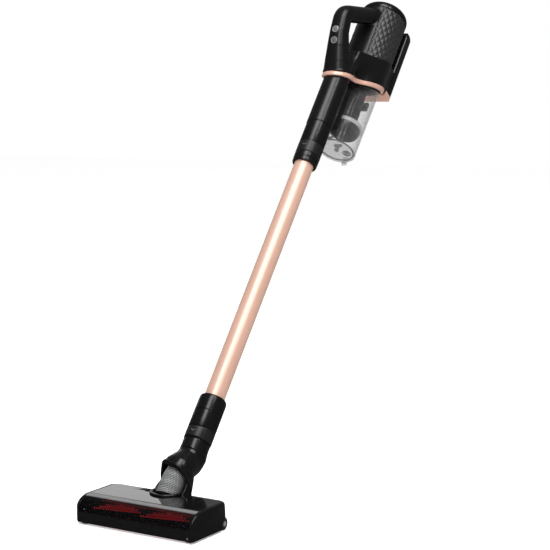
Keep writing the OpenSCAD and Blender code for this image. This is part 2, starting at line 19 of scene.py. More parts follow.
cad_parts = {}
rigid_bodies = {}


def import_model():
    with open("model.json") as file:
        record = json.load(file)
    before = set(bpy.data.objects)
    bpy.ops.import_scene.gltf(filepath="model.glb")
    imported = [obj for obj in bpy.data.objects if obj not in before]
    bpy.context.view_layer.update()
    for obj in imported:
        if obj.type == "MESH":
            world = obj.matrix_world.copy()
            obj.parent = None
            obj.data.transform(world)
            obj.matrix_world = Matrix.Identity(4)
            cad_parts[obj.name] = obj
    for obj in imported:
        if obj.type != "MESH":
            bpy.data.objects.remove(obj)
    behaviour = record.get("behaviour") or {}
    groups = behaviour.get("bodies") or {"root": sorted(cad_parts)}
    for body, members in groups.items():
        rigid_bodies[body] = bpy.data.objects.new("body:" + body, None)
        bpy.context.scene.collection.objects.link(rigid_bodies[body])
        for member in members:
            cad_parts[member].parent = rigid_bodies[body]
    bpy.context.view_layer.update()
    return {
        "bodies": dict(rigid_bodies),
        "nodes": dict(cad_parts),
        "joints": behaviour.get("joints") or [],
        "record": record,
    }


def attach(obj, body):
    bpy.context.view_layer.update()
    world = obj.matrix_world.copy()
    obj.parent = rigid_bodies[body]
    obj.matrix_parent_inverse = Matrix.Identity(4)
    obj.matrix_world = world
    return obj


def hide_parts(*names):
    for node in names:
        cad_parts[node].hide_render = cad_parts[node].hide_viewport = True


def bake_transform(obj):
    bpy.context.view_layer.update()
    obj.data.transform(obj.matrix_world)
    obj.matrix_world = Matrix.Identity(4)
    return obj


LOG = logging.getLogger("stick_vacuum")
MM = 0.001
Point = tuple[float, float]
Field = Callable[[np.ndarray, np.ndarray, np.ndarray], np.ndarray]
Mesh = tuple[np.ndarray, Sequence[Sequence[int]]]


# ---------------------------------------------------------------- frames


@dataclass(frozen=True)
class Frame:
    """A frame that leans back about the X axis.

    Args:
        y: Distance of its origin behind the front of the head.
        z: Height of its origin.
        lean: Lean of its z axis from upright, in degrees.
        shift: Offset of its z axis along its own y.
    """

    y: float = 0.0
    z: float = 0.0
    lean: float = 0.0
    shift: float = 0.0

    def place(self, points: np.ndarray) -> np.ndarray:
        """Return points of this frame, in millimetres, as scene points in metres."""
        c, s = math.cos(math.radians(self.lean)), math.sin(math.radians(self.lean))
        y, z = points[:, 1] + self.shift, points[:, 2]
        return np.column_stack((points[:, 0], self.y + y * c + z * s, self.z - y * s + z * c)) * MM

    def local(self, y: np.ndarray, z: np.ndarray) -> tuple[np.ndarray, np.ndarray]:
        """Return this frame's y and z of scene points given in millimetres."""
        c, s = math.cos(math.radians(self.lean)), math.sin(math.radians(self.lean))
        dy, dz = y - self.y, z - self.z
        return dy * c - dz * s - self.shift, dy * s + dz * c

    def point(self, x: float, y: float, z: float) -> Vector:
        """Return one point of this frame in the scene."""
        return Vector(self.place(np.array([[x, y, z]]))[0])


PIVOT_Y, PIVOT_Z = 106.0, 40.0
STICK = Frame(PIVOT_Y, PIVOT_Z, 38.0, 18.3)
ELBOW = Frame(PIVOT_Y, PIVOT_Z, 60.0, 0.0)
FORK = Frame(PIVOT_Y, PIVOT_Z, 40.0, 0.0)
GROUND = Frame()


# ---------------------------------------------------------------- node trees


class Value:
    """A node socket that takes part in ordinary arithmetic."""

    def __init__(self, tree: "Tree", socket: bpy.types.NodeSocket) -> None:
        """Wrap one output socket of a tree."""
        self.tree, self.socket = tree, socket

    def math(self, operation: str, *others: "Value | float") -> "Value":
        """Return the result of one Math node that takes this value first."""
        return self.tree.node("ShaderNodeMath", {"operation": operation}, [self, *others])

    def __add__(self, other: "Value | float") -> "Value":
        """Return the sum."""
        return self.math("ADD", other)

    __radd__ = __add__

    def __sub__(self, other: "Value | float") -> "Value":
        """Return the difference."""
        return self.math("SUBTRACT", other)

    def __rsub__(self, other: float) -> "Value":
        """Return a number minus this value."""
        return self.tree.node("ShaderNodeMath", {"operation": "SUBTRACT"}, [other, self])

    def __mul__(self, other: "Value | float") -> "Value":
        """Return the product."""
        return self.math("MULTIPLY", other)

    __rmul__ = __mul__

    def __truediv__(self, other: "Value | float") -> "Value":
        """Return the quotient."""
        return self.math("DIVIDE", other)

    def __pow__(self, power: float) -> "Value":
        """Return this value raised to a power."""
        return self.math("POWER", power)

    def __abs__(self) -> "Value":
        """Return the value without its sign."""
        return self.math("ABSOLUTE")

    def sin(self) -> "Value":
        """Return the sine."""
        return self.math("SINE")

    def cos(self) -> "Value":
        """Return the cosine."""
        return self.math("COSINE")

    def step(self, low: float, high: float) -> "Value":
        """Return a smooth rise from 0 at low to 1 at high."""
        settings = {"interpolation_type": "SMOOTHSTEP"}
        return self.tree.node(
            "ShaderNodeMapRange", settings, {"Value": self, "From Min": low, "From Max": high}
        )


class Tree:
    """A node tree that is filled by plain calls."""

    def __init__(self, nodes: bpy.types.NodeTree) -> None:
        """Wrap an empty node tree."""
        self.nodes = nodes

    def raw(self, kind: str, settings: dict[str, Any] | None = None, inputs: Any = None) -> bpy.types.Node:
        """Add a node.

        Args:
            kind: The node's type.
            settings: Its properties; a ramp's stops are under "stops".
            inputs: Values or links of its sockets, by name or in order.

        Returns:
            The node itself.
        """
        node = self.nodes.nodes.new(kind)
        for key, value in (settings or {}).items():
            if key == "stops":
                self._stops(node, value)
            else:
                setattr(node, key, value)
        pairs = inputs.items() if isinstance(inputs, dict) else enumerate(inputs or [])
        for key, value in pairs:
            socket = node.inputs[key]
            if isinstance(value, Value):
                self.nodes.links.new(value.socket, socket)
            else:
                socket.default_value = value
        return node

    def node(
        self, kind: str, settings: dict[str, Any] | None = None, inputs: Any = None, out: int | str = 0
    ) -> Value:
        """Add a node and return one of its outputs, with the same arguments as raw."""
        return Value(self, self.raw(kind, settings, inputs).outputs[out])

    @staticmethod
    def _stops(node: bpy.types.Node, stops: Sequence[tuple[float, Any]]) -> None:
        """Write a colour ramp's stops."""
        ramp = node.color_ramp.elements
        while len(ramp) < len(stops):
            ramp.new(0.5)
        for element, (place, colour) in zip(ramp, stops):
            element.position, element.color = place, (*colour, 1.0)


class ShaderTree(Tree):
    """The node tree of one material."""

    def __init__(self, name: str) -> None:
        """Start a material of this name with only its output."""
        self.material = bpy.data.materials.new(name)
        self.material.use_nodes = True
        super().__init__(self.material.node_tree)
        self.nodes.nodes.clear()
        self.output = self.nodes.nodes.new("ShaderNodeOutputMaterial")

    def where(self) -> Value:
        """Return the Object coordinates."""
        return self.node("ShaderNodeTexCoord", out="Object")

    def mapped(self, lean: float, stretch: tuple[float, float, float] = (1, 1, 1)) -> Value:
        """Return Object coordinates turned to a leaning part and stretched along its axes."""
        settings = {"vector_type": "TEXTURE"}
        turned = self.node(
            "ShaderNodeMapping", settings, {"Vector": self.where(), "Rotation": (-math.radians(lean), 0, 0)}
        )
        return self.node("ShaderNodeMapping", None, {"Vector": turned, "Scale": stretch})

    def noise(self, scale: float, detail: float = 3.0, vector: Value | None = None) -> Value:
        """Return a smooth noise between 0 and 1."""
        inputs = {"Vector": vector or self.where(), "Scale": scale, "Detail": detail}
        return self.node("ShaderNodeTexNoise", None, inputs)

    def blend(self, factor: Value, low: Sequence[float], high: Sequence[float]) -> Value:
        """Return a colour between two colours."""
        inputs = {"Factor": factor, 6: (*low, 1.0), 7: (*high, 1.0)}
        return self.node("ShaderNodeMix", {"data_type": "RGBA"}, inputs, out=2)

    def bump(self, height: Value, distance: float, strength: float = 1.0) -> Value:
        """Return the normal of a height, which spans a distance in millimetres."""
        return self.node(
            "ShaderNodeBump", None, {"Strength": strength, "Distance": distance * MM, "Height": height}
        )

    def surface(self, **inputs: Any) -> Value:
        """Return a Principled surface; an input's underscores stand for spaces."""
        return self.node(
            "ShaderNodeBsdfPrincipled", None, {k.replace("_", " "): v for k, v in inputs.items()}
        )

    def finish(self, shader: Value) -> bpy.types.Material:
        """Connect the surface and return the material."""
        self.nodes.links.new(shader.socket, self.output.inputs["Surface"])
        return self.material


class GeometryTree(Tree):
    """A Geometry Nodes tree with named inputs, run once on an object."""

    def __init__(self, name: str, sizes: dict[str, float], material: bpy.types.Material) -> None:
        """Start a tree whose inputs are its sizes and its material."""
        self.group = bpy.data.node_groups.new(name, "GeometryNodeTree")
        super().__init__(self.group)
        face = self.group.interface
        face.new_socket("Geometry", in_out="INPUT", socket_type="NodeSocketGeometry")
        face.new_socket("Geometry", in_out="OUTPUT", socket_type="NodeSocketGeometry")
        self.values: dict[str, Any] = {}
        for key, value in sizes.items():
            self.values[
                face.new_socket(key, in_out="INPUT", socket_type="NodeSocketFloat").identifier
            ] = value
        self.values[
            face.new_socket("Finish", in_out="INPUT", socket_type="NodeSocketMaterial").identifier
        ] = material
        self.entry = self.group.nodes.new("NodeGroupInput")
        self.exit = self.group.nodes.new("NodeGroupOutput")

    def given(self, name: str) -> Value:
        """Return one of the tree's inputs."""
        return Value(self, self.entry.outputs[name])

    def vector(self, x: Value | float, y: Value | float, z: Value | float) -> Value:
        """Return a vector of three values."""
        return self.node("ShaderNodeCombineXYZ", None, [x, y, z])

    def run(self, result: Value, start: bpy.types.Object, name: str) -> bpy.types.Object:
        """Realise the result on a start object.

        Args:
            result: The geometry to keep.
            start: The object whose mesh the tree starts from; it is removed.
            name: Name of the finished piece.

        Returns:
            A plain mesh object.
        """
        real = self.node("GeometryNodeRealizeInstances", None, [result])
        dressed = self.raw(
            "GeometryNodeSetMaterial", None, {"Geometry": real, "Material": self.given("Finish")}
        )
        self.group.links.new(dressed.outputs[0], self.exit.inputs[0])
        modifier = start.modifiers.new(name, "NODES")
        modifier.node_group = self.group
        for identifier, value in self.values.items():
            modifier[identifier] = value
        graph = bpy.context.evaluated_depsgraph_get()
        mesh = bpy.data.meshes.new_from_object(start.evaluated_get(graph))
        start.modifiers.remove(modifier)
        bpy.data.objects.remove(start)
        piece = bpy.data.objects.new(name, mesh)
        mesh.name = name
        bpy.context.scene.collection.objects.link(piece)
        return piece


# ---------------------------------------------------------------- finishes


@dataclass(frozen=True)
class Plastic:
    """A moulded plastic with faint flow marks and a fine skin.

    Args:
        colour: Its colour.
        roughness: Its mean roughness.
        specular: Strength of its reflection at right angles.
        grain: Depth of the skin's grain in millimetres.
        grain_scale: Grains to a metre.
        spread: How far the roughness wanders.
        coat: Weight of its clear coat.
    """

    colour: tuple[float, float, float]
    roughness: float = 0.3
    specular: float = 0.32
    grain: float = 0.006
    grain_scale: float = 1400.0
    spread: float = 0.06
    coat: float = 0.0

    def make(self, name: str) -> bpy.types.Material:
        """Return the finish as a material."""
        tree = ShaderTree(name)
        flow = tree.noise(9.0, 4.0)
        skin = tree.noise(self.grain_scale, 2.0)
        darker = [c * 0.82 for c in self.colour]
        lighter = [min(c * 1.16, 1.0) for c in self.colour]
        shader = tree.surface(
            Base_Color=tree.blend(flow, darker, lighter),
            Roughness=self.roughness + (flow - 0.5) * self.spread + (skin - 0.5) * 0.04,
            Specular_IOR_Level=self.specular,
            Coat_Weight=self.coat,
            Coat_Roughness=0.08,
            Normal=tree.bump(skin, self.grain),
        )
        return tree.finish(shader)


@dataclass(frozen=True)
class Anodised:
    """Satin anodised or lacquered metal with fine lines round the part.

    Args:
        colour: Its colour.
        roughness: Its mean roughness.
        metallic: Share of metal.
        lean: Lean of the part whose lines it follows.
    """

    colour: tuple[float, float, float]
    roughness: float = 0.34
    metallic: float = 1.0
    lean: float = 38.0

    def make(self, name: str) -> bpy.types.Material:
        """Return the finish as a material."""
        tree = ShaderTree(name)
        lines = tree.noise(60.0, 3.0, tree.mapped(self.lean, (1.0, 1.0, 60.0)))
        cloud = tree.noise(14.0, 3.0)
        deep = [c * 0.93 for c in self.colour]
        pale = [min(c * 1.05, 1.0) for c in self.colour]
        shader = tree.surface(
            Base_Color=tree.blend(cloud * 0.6 + lines * 0.4, deep, pale),
            Roughness=self.roughness + (lines - 0.5) * 0.10 + (cloud - 0.5) * 0.05,
            Metallic=self.metallic,
            Normal=tree.bump(lines, 0.006, 0.6),
        )
        return tree.finish(shader)


@dataclass(frozen=True)
class Clear:
    """Clear moulded shell: mostly see-through, with a bright sheen at grazing angles.

    Args:
        tint: Colour of what passes through.
        body: Colour of the shell's own scatter.
        floor: Share of the shell seen face on.
        rise: Share added towards the edges.
        roughness: Roughness of its shine.
    """

    tint: tuple[float, float, float]
    body: tuple[float, float, float]
    floor: float = 0.06
    rise: float = 0.7
    roughness: float = 0.07

    def make(self, name: str) -> bpy.types.Material:
        """Return the finish as a material."""
        tree = ShaderTree(name)
        haze = tree.noise(35.0, 3.0)
        edge = tree.node("ShaderNodeLayerWeight", None, {"Blend": 0.32}, out="Facing")
        through = tree.node("ShaderNodeBsdfTransparent", None, {"Color": (*self.tint, 1.0)})
        shine = tree.surface(
            Base_Color=tree.blend(haze, [c * 0.9 for c in self.body], self.body),
            Roughness=self.roughness + haze * 0.04,
            Specular_IOR_Level=1.0,
            Coat_Weight=0.6,
            Coat_Roughness=0.03,
        )
        share = self.floor + (edge ** 1.7) * self.rise + (haze - 0.5) * 0.015
        return tree.finish(tree.node("ShaderNodeMixShader", None, {0: share, 1: through, 2: shine}))


@dataclass(frozen=True)
class Speckled:
    """A satin metal-look paint with fine flakes.

    Args:
        colour: Its colour.
        flake: Colour of the flakes.
        roughness: Its roughness.
    """

    colour: tuple[float, float, float]
    flake: tuple[float, float, float]
    roughness: float = 0.4

    def make(self, name: str) -> bpy.types.Material:
        """Return the finish as a material."""
        tree = ShaderTree(name)
        cells = tree.node("ShaderNodeTexVoronoi", None, {"Vector": tree.where(), "Scale": 1100.0})
        flakes = tree.noise(1700.0, 1.0)
        mask = (1.0 - cells.step(0.05, 0.5)) * flakes.step(0.4, 0.7)
        shader = tree.surface(
            Base_Color=tree.blend(mask, self.colour, self.flake),
            Roughness=self.roughness + mask * 0.12,
            Metallic=0.55,
            Normal=tree.bump(cells, 0.05, 0.5),
        )
        return tree.finish(shader)


@dataclass(frozen=True)
class Braided:
    """Ribbed hose with a twill of fine threads over its ribs; its colour is pale on the rib crests as a
    painted highlight and near black in the troughs as painted shade.

    Args:
        thread: Colour of the raised threads, which also paints a highlight on the rib crests.
        shade: Colour between them, painted shade in the rib troughs.
        threads: Number of threads round the hose.
        pitch: Rib pitch in millimetres.
    """

    thread: tuple[float, float, float]
    shade: tuple[float, float, float]
    threads: float = 46.0
    pitch: float = 2.6

    def make(self, name: str) -> bpy.types.Material:
        """Return the finish as a material."""
        tree = ShaderTree(name)
        run = tree.node("ShaderNodeAttribute", {"attribute_name": "run"}, out="Fac") * (1000.0 / self.pitch)
        turn = tree.node("ShaderNodeAttribute", {"attribute_name": "turn"}, out="Fac") * self.threads
        row = run.math("FLOOR") * 0.5
        thread = abs(((turn + row) * math.pi).sin())
        # The rib wave lightens the crests and darkens the troughs: painted highlight and shade.
        rib = (run * (2 * math.pi)).sin() * 0.5 + 0.5
        raised = rib * thread.step(0.15, 0.8)
        dust = tree.noise(420.0, 2.0)
        shader = tree.surface(
            # Pale crests over the grey threads are a painted highlight and the near black between them is
            # painted shade; the threads' grey is the hose's own colour.
            Base_Color=tree.blend(raised * (0.75 + dust * 0.5), self.shade, self.thread),
            Roughness=0.42 - raised * 0.10,
            Metallic=raised * 0.35,
            Normal=tree.bump(raised, 0.45, 0.8),
        )
        return tree.finish(shader)


@dataclass(frozen=True)
class Fibre:
    """Coloured brush fibre, darker at its roots as painted shade between the tufts and brighter at its
    tips, which also glow as painted light.

    Args:
        root: Colour at the roots, darkened as painted shade between the tufts.
        tip: Colour at the tips, also that of their painted glow.
    """

    root: tuple[float, float, float]
    tip: tuple[float, float, float]

    def make(self, name: str) -> bpy.types.Material:
        """Return the finish as a material."""
        tree = ShaderTree(name)
        strands = tree.noise(2600.0, 2.0)
        parts = tree.raw("ShaderNodeSeparateXYZ", None, [tree.where()])
        y, z = Value(tree, parts.outputs[1]) - 0.027, Value(tree, parts.outputs[2]) - 0.022
        # The tip mask brightens the tufts' outer ends and makes them glow (painted light); the dark roots
        # are painted shade.
        tip = ((y * y + z * z) ** 0.5).step(0.0155, 0.0178)
        shader = tree.surface(
            Base_Color=tree.blend(tip * (0.7 + strands * 0.4), self.root, self.tip),
            Roughness=0.5 + strands * 0.2,
            # A glow at the tips: painted light, though the tufts are no lamp.
            Emission_Color=(*self.tip, 1.0),
            Emission_Strength=tip * 0.22,
            Normal=tree.bump(strands, 0.08),
        )
        return tree.finish(shader)


@dataclass(frozen=True)
class Pleated:
    """Folded filter paper or a wrapped film, with even folds whose valleys are painted darker as shade.

    Args:
        ridge: Colour of the ridges.
        valley: Colour of the valleys, darker as painted shade in the folds.
        folds: Folds to a metre.
    """

    ridge: tuple[float, float, float]
    valley: tuple[float, float, float]
    folds: float = 420.0

    def make(self, name: str) -> bpy.types.Material:
        """Return the finish as a material."""
        tree = ShaderTree(name)
        parts = tree.raw("ShaderNodeSeparateXYZ", None, [tree.where()])
        fold = abs((Value(tree, parts.outputs[0]) * (self.folds * math.pi)).sin())
        fuzz = tree.noise(900.0, 3.0)
        shader = tree.surface(
            # The fold mask darkens the valleys: painted shade in the folds.
            Base_Color=tree.blend(fold * 0.8 + fuzz * 0.2, self.valley, self.ridge),
            Roughness=0.7 + fuzz * 0.2,
            Normal=tree.bump(fold + fuzz * 0.2, 0.5),
        )
        return tree.finish(shader)


class Look(Enum):
    """Every finish of the vacuum, by the part that wears it."""

    GLOSS = Plastic((0.0045, 0.0045, 0.0048), 0.22, 0.34)
    BODY = Plastic((0.0048, 0.0048, 0.005), 0.30, 0.30, 0.004, 1800.0, 0.03)
    TUBE = Plastic((0.0048, 0.0048, 0.005), 0.27, 0.36, 0.004, 1400.0, 0.03)
    DECK = Plastic((0.005, 0.005, 0.0055), 0.07, 0.6, 0.0008, 900.0, 0.015, 0.6)
    MATTE = Plastic((0.008, 0.008, 0.0085), 0.52, 0.25, 0.02, 1500.0)
    QUILT = Plastic((0.017, 0.017, 0.018), 0.36, 0.42, 0.012, 2200.0)
    KEY = Plastic((0.0085, 0.0085, 0.009), 0.38, 0.34, 0.010, 1600.0)
    STRIP = Plastic((0.14, 0.14, 0.145), 0.38, 0.4)
    LIGHT = Plastic((0.34, 0.345, 0.35), 0.34, 0.45)
    FLAP = Clear((0.84, 0.84, 0.84), (0.42, 0.42, 0.42), 0.16, 0.5, 0.12)
    COLUMN = Plastic((0.010, 0.010, 0.011), 0.22, 0.5)
    RUBBER = Plastic((0.012, 0.012, 0.012), 0.62, 0.2, 0.03, 1100.0)
    BOARD = Plastic((0.02, 0.12, 0.05), 0.45, 0.4, 0.02, 700.0)
    WRAP = Plastic((0.04, 0.12, 0.28), 0.35, 0.5, 0.004, 500.0)
    SILVER = Anodised((0.40, 0.40, 0.41), 0.32, 0.7, 0.0)
    STEEL = Anodised((0.62, 0.62, 0.64), 0.28, 1.0, 0.0)
    MOTOR = Anodised((0.36, 0.36, 0.37), 0.38, 1.0, 38.0)
    RIM = Anodised((0.52, 0.52, 0.53), 0.24, 0.8, 38.0)
    WAND = Anodised((0.66, 0.405, 0.315), 0.36, 0.42, 38.0)
    ROSE = Anodised((0.56, 0.335, 0.26), 0.34, 0.35, 38.0)
    SHELL = Clear((0.93, 0.93, 0.93), (0.44, 0.44, 0.44), 0.035)
    WINDOW = Clear((0.72, 0.70, 0.70), (0.010, 0.010, 0.011), 0.16, 0.8, 0.06)
    UPPER_KEY = Speckled((0.17, 0.17, 0.175), (0.50, 0.50, 0.51))
    LOWER_KEY = Speckled((0.12, 0.12, 0.125), (0.36, 0.36, 0.37))
    HOSE = Braided((0.55, 0.56, 0.56), (0.035, 0.035, 0.037))
    BRISTLE = Fibre((0.05, 0.002, 0.002), (0.86, 0.03, 0.035))
    FILTER = Pleated((0.80, 0.79, 0.74), (0.42, 0.41, 0.38))

    def material(self) -> bpy.types.Material:
        """Return this finish's material, made once."""
        name = self.name.lower()
        return bpy.data.materials.get(name) or self.value.make(name)


# ---------------------------------------------------------------- mesh building


class Maker:
    """Turns points and faces into finished pieces and keeps count of them."""

    def __init__(self) -> None:
        """Start with no pieces."""
        self.made: list[bpy.types.Object] = []

    def piece(
        self,
        name: str,
        points: np.ndarray,
        faces: Sequence[Sequence[int]],
        look: Look,
        frame: Frame = GROUND,
        crease: float = 38.0,
        merge: bool = True,
    ) -> bpy.types.Object:
        """Make a mesh object.

        Args:
            name: Name of the piece.
            points: Its points in the frame, in millimetres.
            faces: Its faces.
            look: Its finish.
            frame: The frame of its points.
            crease: Angle in degrees past which an edge stays sharp.
            merge: Whether doubled points are merged and the faces turned outwards.

        Returns:
            The piece.
        """
        mesh = bpy.data.meshes.new(name)
        mesh.from_pydata(
            [tuple(p) for p in frame.place(np.asarray(points, float))], [], [tuple(f) for f in faces]
        )
        if merge:
            work = bmesh.new()
            work.from_mesh(mesh)
            bmesh.ops.remove_doubles(work, verts=work.verts, dist=2e-6)
            bmesh.ops.dissolve_degenerate(work, edges=work.edges, dist=1e-6)
            bmesh.ops.recalc_face_normals(work, faces=work.faces)
            work.to_mesh(mesh)
            work.free()
        mesh.materials.append(look.material())
        piece = bpy.data.objects.new(name, mesh)
        bpy.context.scene.collection.objects.link(piece)
        self.soften(piece, crease)
        return piece

    @staticmethod
    def soften(piece: bpy.types.Object, crease: float = 38.0) -> None:
        """Shade a piece smooth, but for edges past an angle."""
        piece.data.shade_smooth()
        piece.data.set_sharp_from_angle(angle=math.radians(crease))

    def keep(
        self, piece: bpy.types.Object, body: str, slot: str, nodes: Sequence[str] = ()
    ) -> bpy.types.Object:
        """Put a piece on its body.

        Args:
            piece: The finished piece.
            body: The body it rides on.
            slot: The record's slot of the piece; not used.
            nodes: The frame's nodes that it stands for.

        Returns:
            The piece.
        """
        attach(piece, body)
        if nodes:
            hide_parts(*nodes)
        self.made.append(piece)
        LOG.info("%s rides on %s, %d faces", piece.name, body, len(piece.data.polygons))
        return piece


def applied(piece: bpy.types.Object, kind: str, **settings: Any) -> bpy.types.Object:
    """Run one modifier on a piece and keep its result.

    Args:
        piece: The piece.
        kind: The modifier's type.
        settings: The modifier's properties.

    Returns:
        The same piece with its new mesh.
    """
    modifier = piece.modifiers.new(kind.lower(), kind)
    for key, value in settings.items():
        setattr(modifier, key, value)
    graph = bpy.context.evaluated_depsgraph_get()
    mesh = bpy.data.meshes.new_from_object(piece.evaluated_get(graph))
    piece.modifiers.clear()
    piece.data = mesh
    return piece


def rounded(loop: Sequence[Point], radius: float | Sequence[float], steps: int = 4) -> list[Point]:
    """Round the corners of a closed outline.

    Args:
        loop: The outline's corners.
        radius: One radius, or one for each corner.
        steps: Steps in each arc.

    Returns:
        The new outline.
    """
    out: list[Point] = []
    n = len(loop)
    radii = [radius] * n if isinstance(radius, (int, float)) else list(radius)
    for i, corner in enumerate(loop):
        before, here, after = (np.array(loop[(i + k) % n], float) for k in (-1, 0, 1))
        a, b = before - here, after - here
        la, lb = float(np.linalg.norm(a)), float(np.linalg.norm(b))
        cosine = float(np.clip(a @ b / max(la * lb, 1e-9), -1, 1))
        half = math.acos(cosine) / 2
        if radii[i] <= 0 or half > math.radians(88):
            out.append(tuple(corner))
            continue
        reach = min(radii[i] / math.tan(half), 0.49 * la, 0.49 * lb)
        r = reach * math.tan(half)
        centre = here + (a / la + b / lb) / np.linalg.norm(a / la + b / lb) * (r / math.sin(half))
        start, end = here + a / la * reach - centre, here + b / lb * reach - centre
        sweep = math.atan2(start[0] * end[1] - start[1] * end[0], float(start @ end))
        for k in range(steps + 1):
            t = sweep * k / steps
            c, s = math.cos(t), math.sin(t)
            out.append((centre[0] + start[0] * c - start[1] * s, centre[1] + start[0] * s + start[1] * c))
    return out


def lathe(
    loop: Sequence[Point], y: float = 0.0, segments: int = 96, span: tuple[float, float] | None = None
) -> Mesh:
    """Turn a closed outline of radius and height about a z axis.

    Args:
        loop: The outline.
        y: Place of the axis.
        segments: Steps round the axis.
        span: First and last angle in degrees of a part turn, whose ends are closed.

    Returns:
        Points and faces.
    """
    low, high = span or (0.0, 360.0)
    steps = segments if span is None else segments + 1
    angles = np.radians(np.linspace(low, high, segments + 1)[:steps])
    ring = np.array(loop, float)
    points = [(r * math.cos(a), y + r * math.sin(a), z) for a in angles for r, z in ring]
    n = len(ring)
    faces = []
    for i in range(segments):
        a, b = i * n, ((i + 1) % steps) * n
        faces += [(a + k, a + (k + 1) % n, b + (k + 1) % n, b + k) for k in range(n)]
    if span:
        faces += [tuple(range(n)), tuple(range(segments * n, (segments + 1) * n))[::-1]]
    return np.array(points), faces


def wall(outer: Sequence[Point], thickness: float) -> list[Point]:
    """Return a closed outline of an open radius-height line and its inner copy."""
    return list(outer) + [(max(r - thickness, 0.0), z) for r, z in reversed(outer)]


def prism(loop: Sequence[Point], low: float, high: float) -> Mesh:
    """Extrude a closed y-z outline along x and return points and faces."""
    n = len(loop)
    points = [(x, y, z) for x in (low, high) for y, z in loop]
    faces = [(k, (k + 1) % n, n + (k + 1) % n, n + k) for k in range(n)]
    faces += [tuple(range(n))[::-1], tuple(range(n, 2 * n))]
    return np.array(points), faces


def surface_net(f: Field, low: Sequence[float], high: Sequence[float], step: float) -> Mesh:
    """Mesh the zero surface of a distance field.

    Args:
        f: The field, negative inside.
        low: Lowest corner of the grid.
        high: Highest corner of the grid.
        step: Grid step.

    Returns:
        Points and faces.
    """
    axes = [np.arange(a, b + step, step, dtype=np.float32) for a, b in zip(low, high)]
    grid = f(axes[0][:, None, None], axes[1][None, :, None], axes[2][None, None, :])
    grid = np.broadcast_to(grid, tuple(len(a) for a in axes)).astype(np.float32)
    inside = grid < 0
    corners = [(i, j, k) for i in (0, 1) for j in (0, 1) for k in (0, 1)]
    shape = tuple(n - 1 for n in grid.shape)

    def corner(a: np.ndarray, c: tuple[int, int, int]) -> np.ndarray:
        """Return the values of one corner of every cell."""
        return a[c[0] : c[0] + shape[0], c[1] : c[1] + shape[1], c[2] : c[2] + shape[2]]

    count = sum(corner(inside, c).astype(np.int8) for c in corners)
    cells = np.argwhere((count > 0) & (count < 8))
    values = np.stack(
        [grid[cells[:, 0] + c[0], cells[:, 1] + c[1], cells[:, 2] + c[2]] for c in corners], 1
    )
    total, hits = np.zeros((len(cells), 3)), np.zeros(len(cells))
    for a, ca in enumerate(corners):
        for b in range(a + 1, 8):
            cb = corners[b]
            if sum(abs(p - q) for p, q in zip(ca, cb)) != 1:
                continue
            cross = (values[:, a] < 0) != (values[:, b] < 0)
            t = np.where(cross, values[:, a] / np.where(cross, values[:, a] - values[:, b], 1), 0)
            total += cross[:, None] * (np.array(ca) + t[:, None] * (np.array(cb) - np.array(ca)))
            hits += cross
    points = np.array(low) + step * (cells + total / hits[:, None])
    number = -np.ones(shape, dtype=np.int64)
    number[tuple(cells.T)] = np.arange(len(cells))
    faces = []
    for axis in range(3):
        u, v = (axis + 1) % 3, (axis + 2) % 3
        cut = [slice(None)] * 3
        cut[axis] = slice(0, -1)
        ahead = [slice(None)] * 3
        ahead[axis] = slice(1, None)
        change = inside[tuple(cut)] != inside[tuple(ahead)]
        edges = np.argwhere(change)
        edges = edges[
            (edges[:, u] > 0) & (edges[:, v] > 0) & (edges[:, u] < shape[u]) & (edges[:, v] < shape[v])
        ]
        first = inside[tuple(edges.T)]
        offsets = np.zeros((4, 3), int)
        offsets[0, u] = offsets[0, v] = offsets[1, v] = offsets[3, u] = -1
        quad = np.stack([number[tuple((edges + o).T)] for o in offsets], 1)
        faces.append(np.where(first[:, None], quad, quad[:, ::-1]))
    quads = np.concatenate(faces)
    quads = quads[(quads >= 0).all(1)]
    for _ in range(3):
        points = settle(f, points, step)
    return points, quads.tolist()


def settle(f: Field, points: np.ndarray, step: float) -> np.ndarray:
    """Move points along the field's slope on to its zero surface."""
    h = 0.15 * step
    here = f(*points.T)
    slope = np.stack([(f(*(points + d).T) - f(*(points - d).T)) / (2 * h) for d in np.eye(3) * h], 1)
    size = np.maximum((slope**2).sum(1), 0.05)
    return points - np.clip(here / size, -0.6 * step, 0.6 * step)[:, None] * slope * 0.8


def join(a: np.ndarray, b: np.ndarray, radius: float) -> np.ndarray:
    """Return the union of two fields with a fillet of about a radius."""
    h = np.maximum(radius - np.abs(a - b), 0) / radius
    return np.minimum(a, b) - h * h * radius * 0.25


def meet(a: np.ndarray, b: np.ndarray, radius: float) -> np.ndarray:
    """Return the common part of two fields with a softened edge."""
    return -join(-a, -b, radius)


@dataclass(frozen=True)
class Sweep:
    """A rounded section carried along a path in the y-z plane.

    Args:
        stations: Place, half width across x and half thickness at each point.
        power: 2 for an ellipse, more for a squarer section.
    """

    stations: tuple[tuple[float, float, float, float], ...]
    power: float = 2.5

    def distance(self, x: np.ndarray, y: np.ndarray, z: np.ndarray, inset: float = 0.0) -> np.ndarray:
        """Return about how far points are from the swept surface."""
        best = place = width = thick = None
        for a, b in zip(self.stations, self.stations[1:]):
            dy, dz = b[0] - a[0], b[1] - a[1]
            t = np.clip(((y - a[0]) * dy + (z - a[1]) * dz) / (dy * dy + dz * dz), 0, 1)
            away = np.hypot(y - a[0] - t * dy, z - a[1] - t * dz)
            w, h = a[2] + t * (b[2] - a[2]), a[3] + t * (b[3] - a[3])
            if best is None:
                best, width, thick = away, w, h
                continue
            near = away < best
            best = np.where(near, away, best)
            width, thick = np.where(near, w, width), np.where(near, h, thick)
        width, thick = width - inset, thick - inset
        ratio = (np.abs(x / width) ** self.power + (best / thick) ** self.power) ** (1 / self.power)
        return (ratio - 1) * np.minimum(width, thick)


# ---------------------------------------------------------------- hand unit


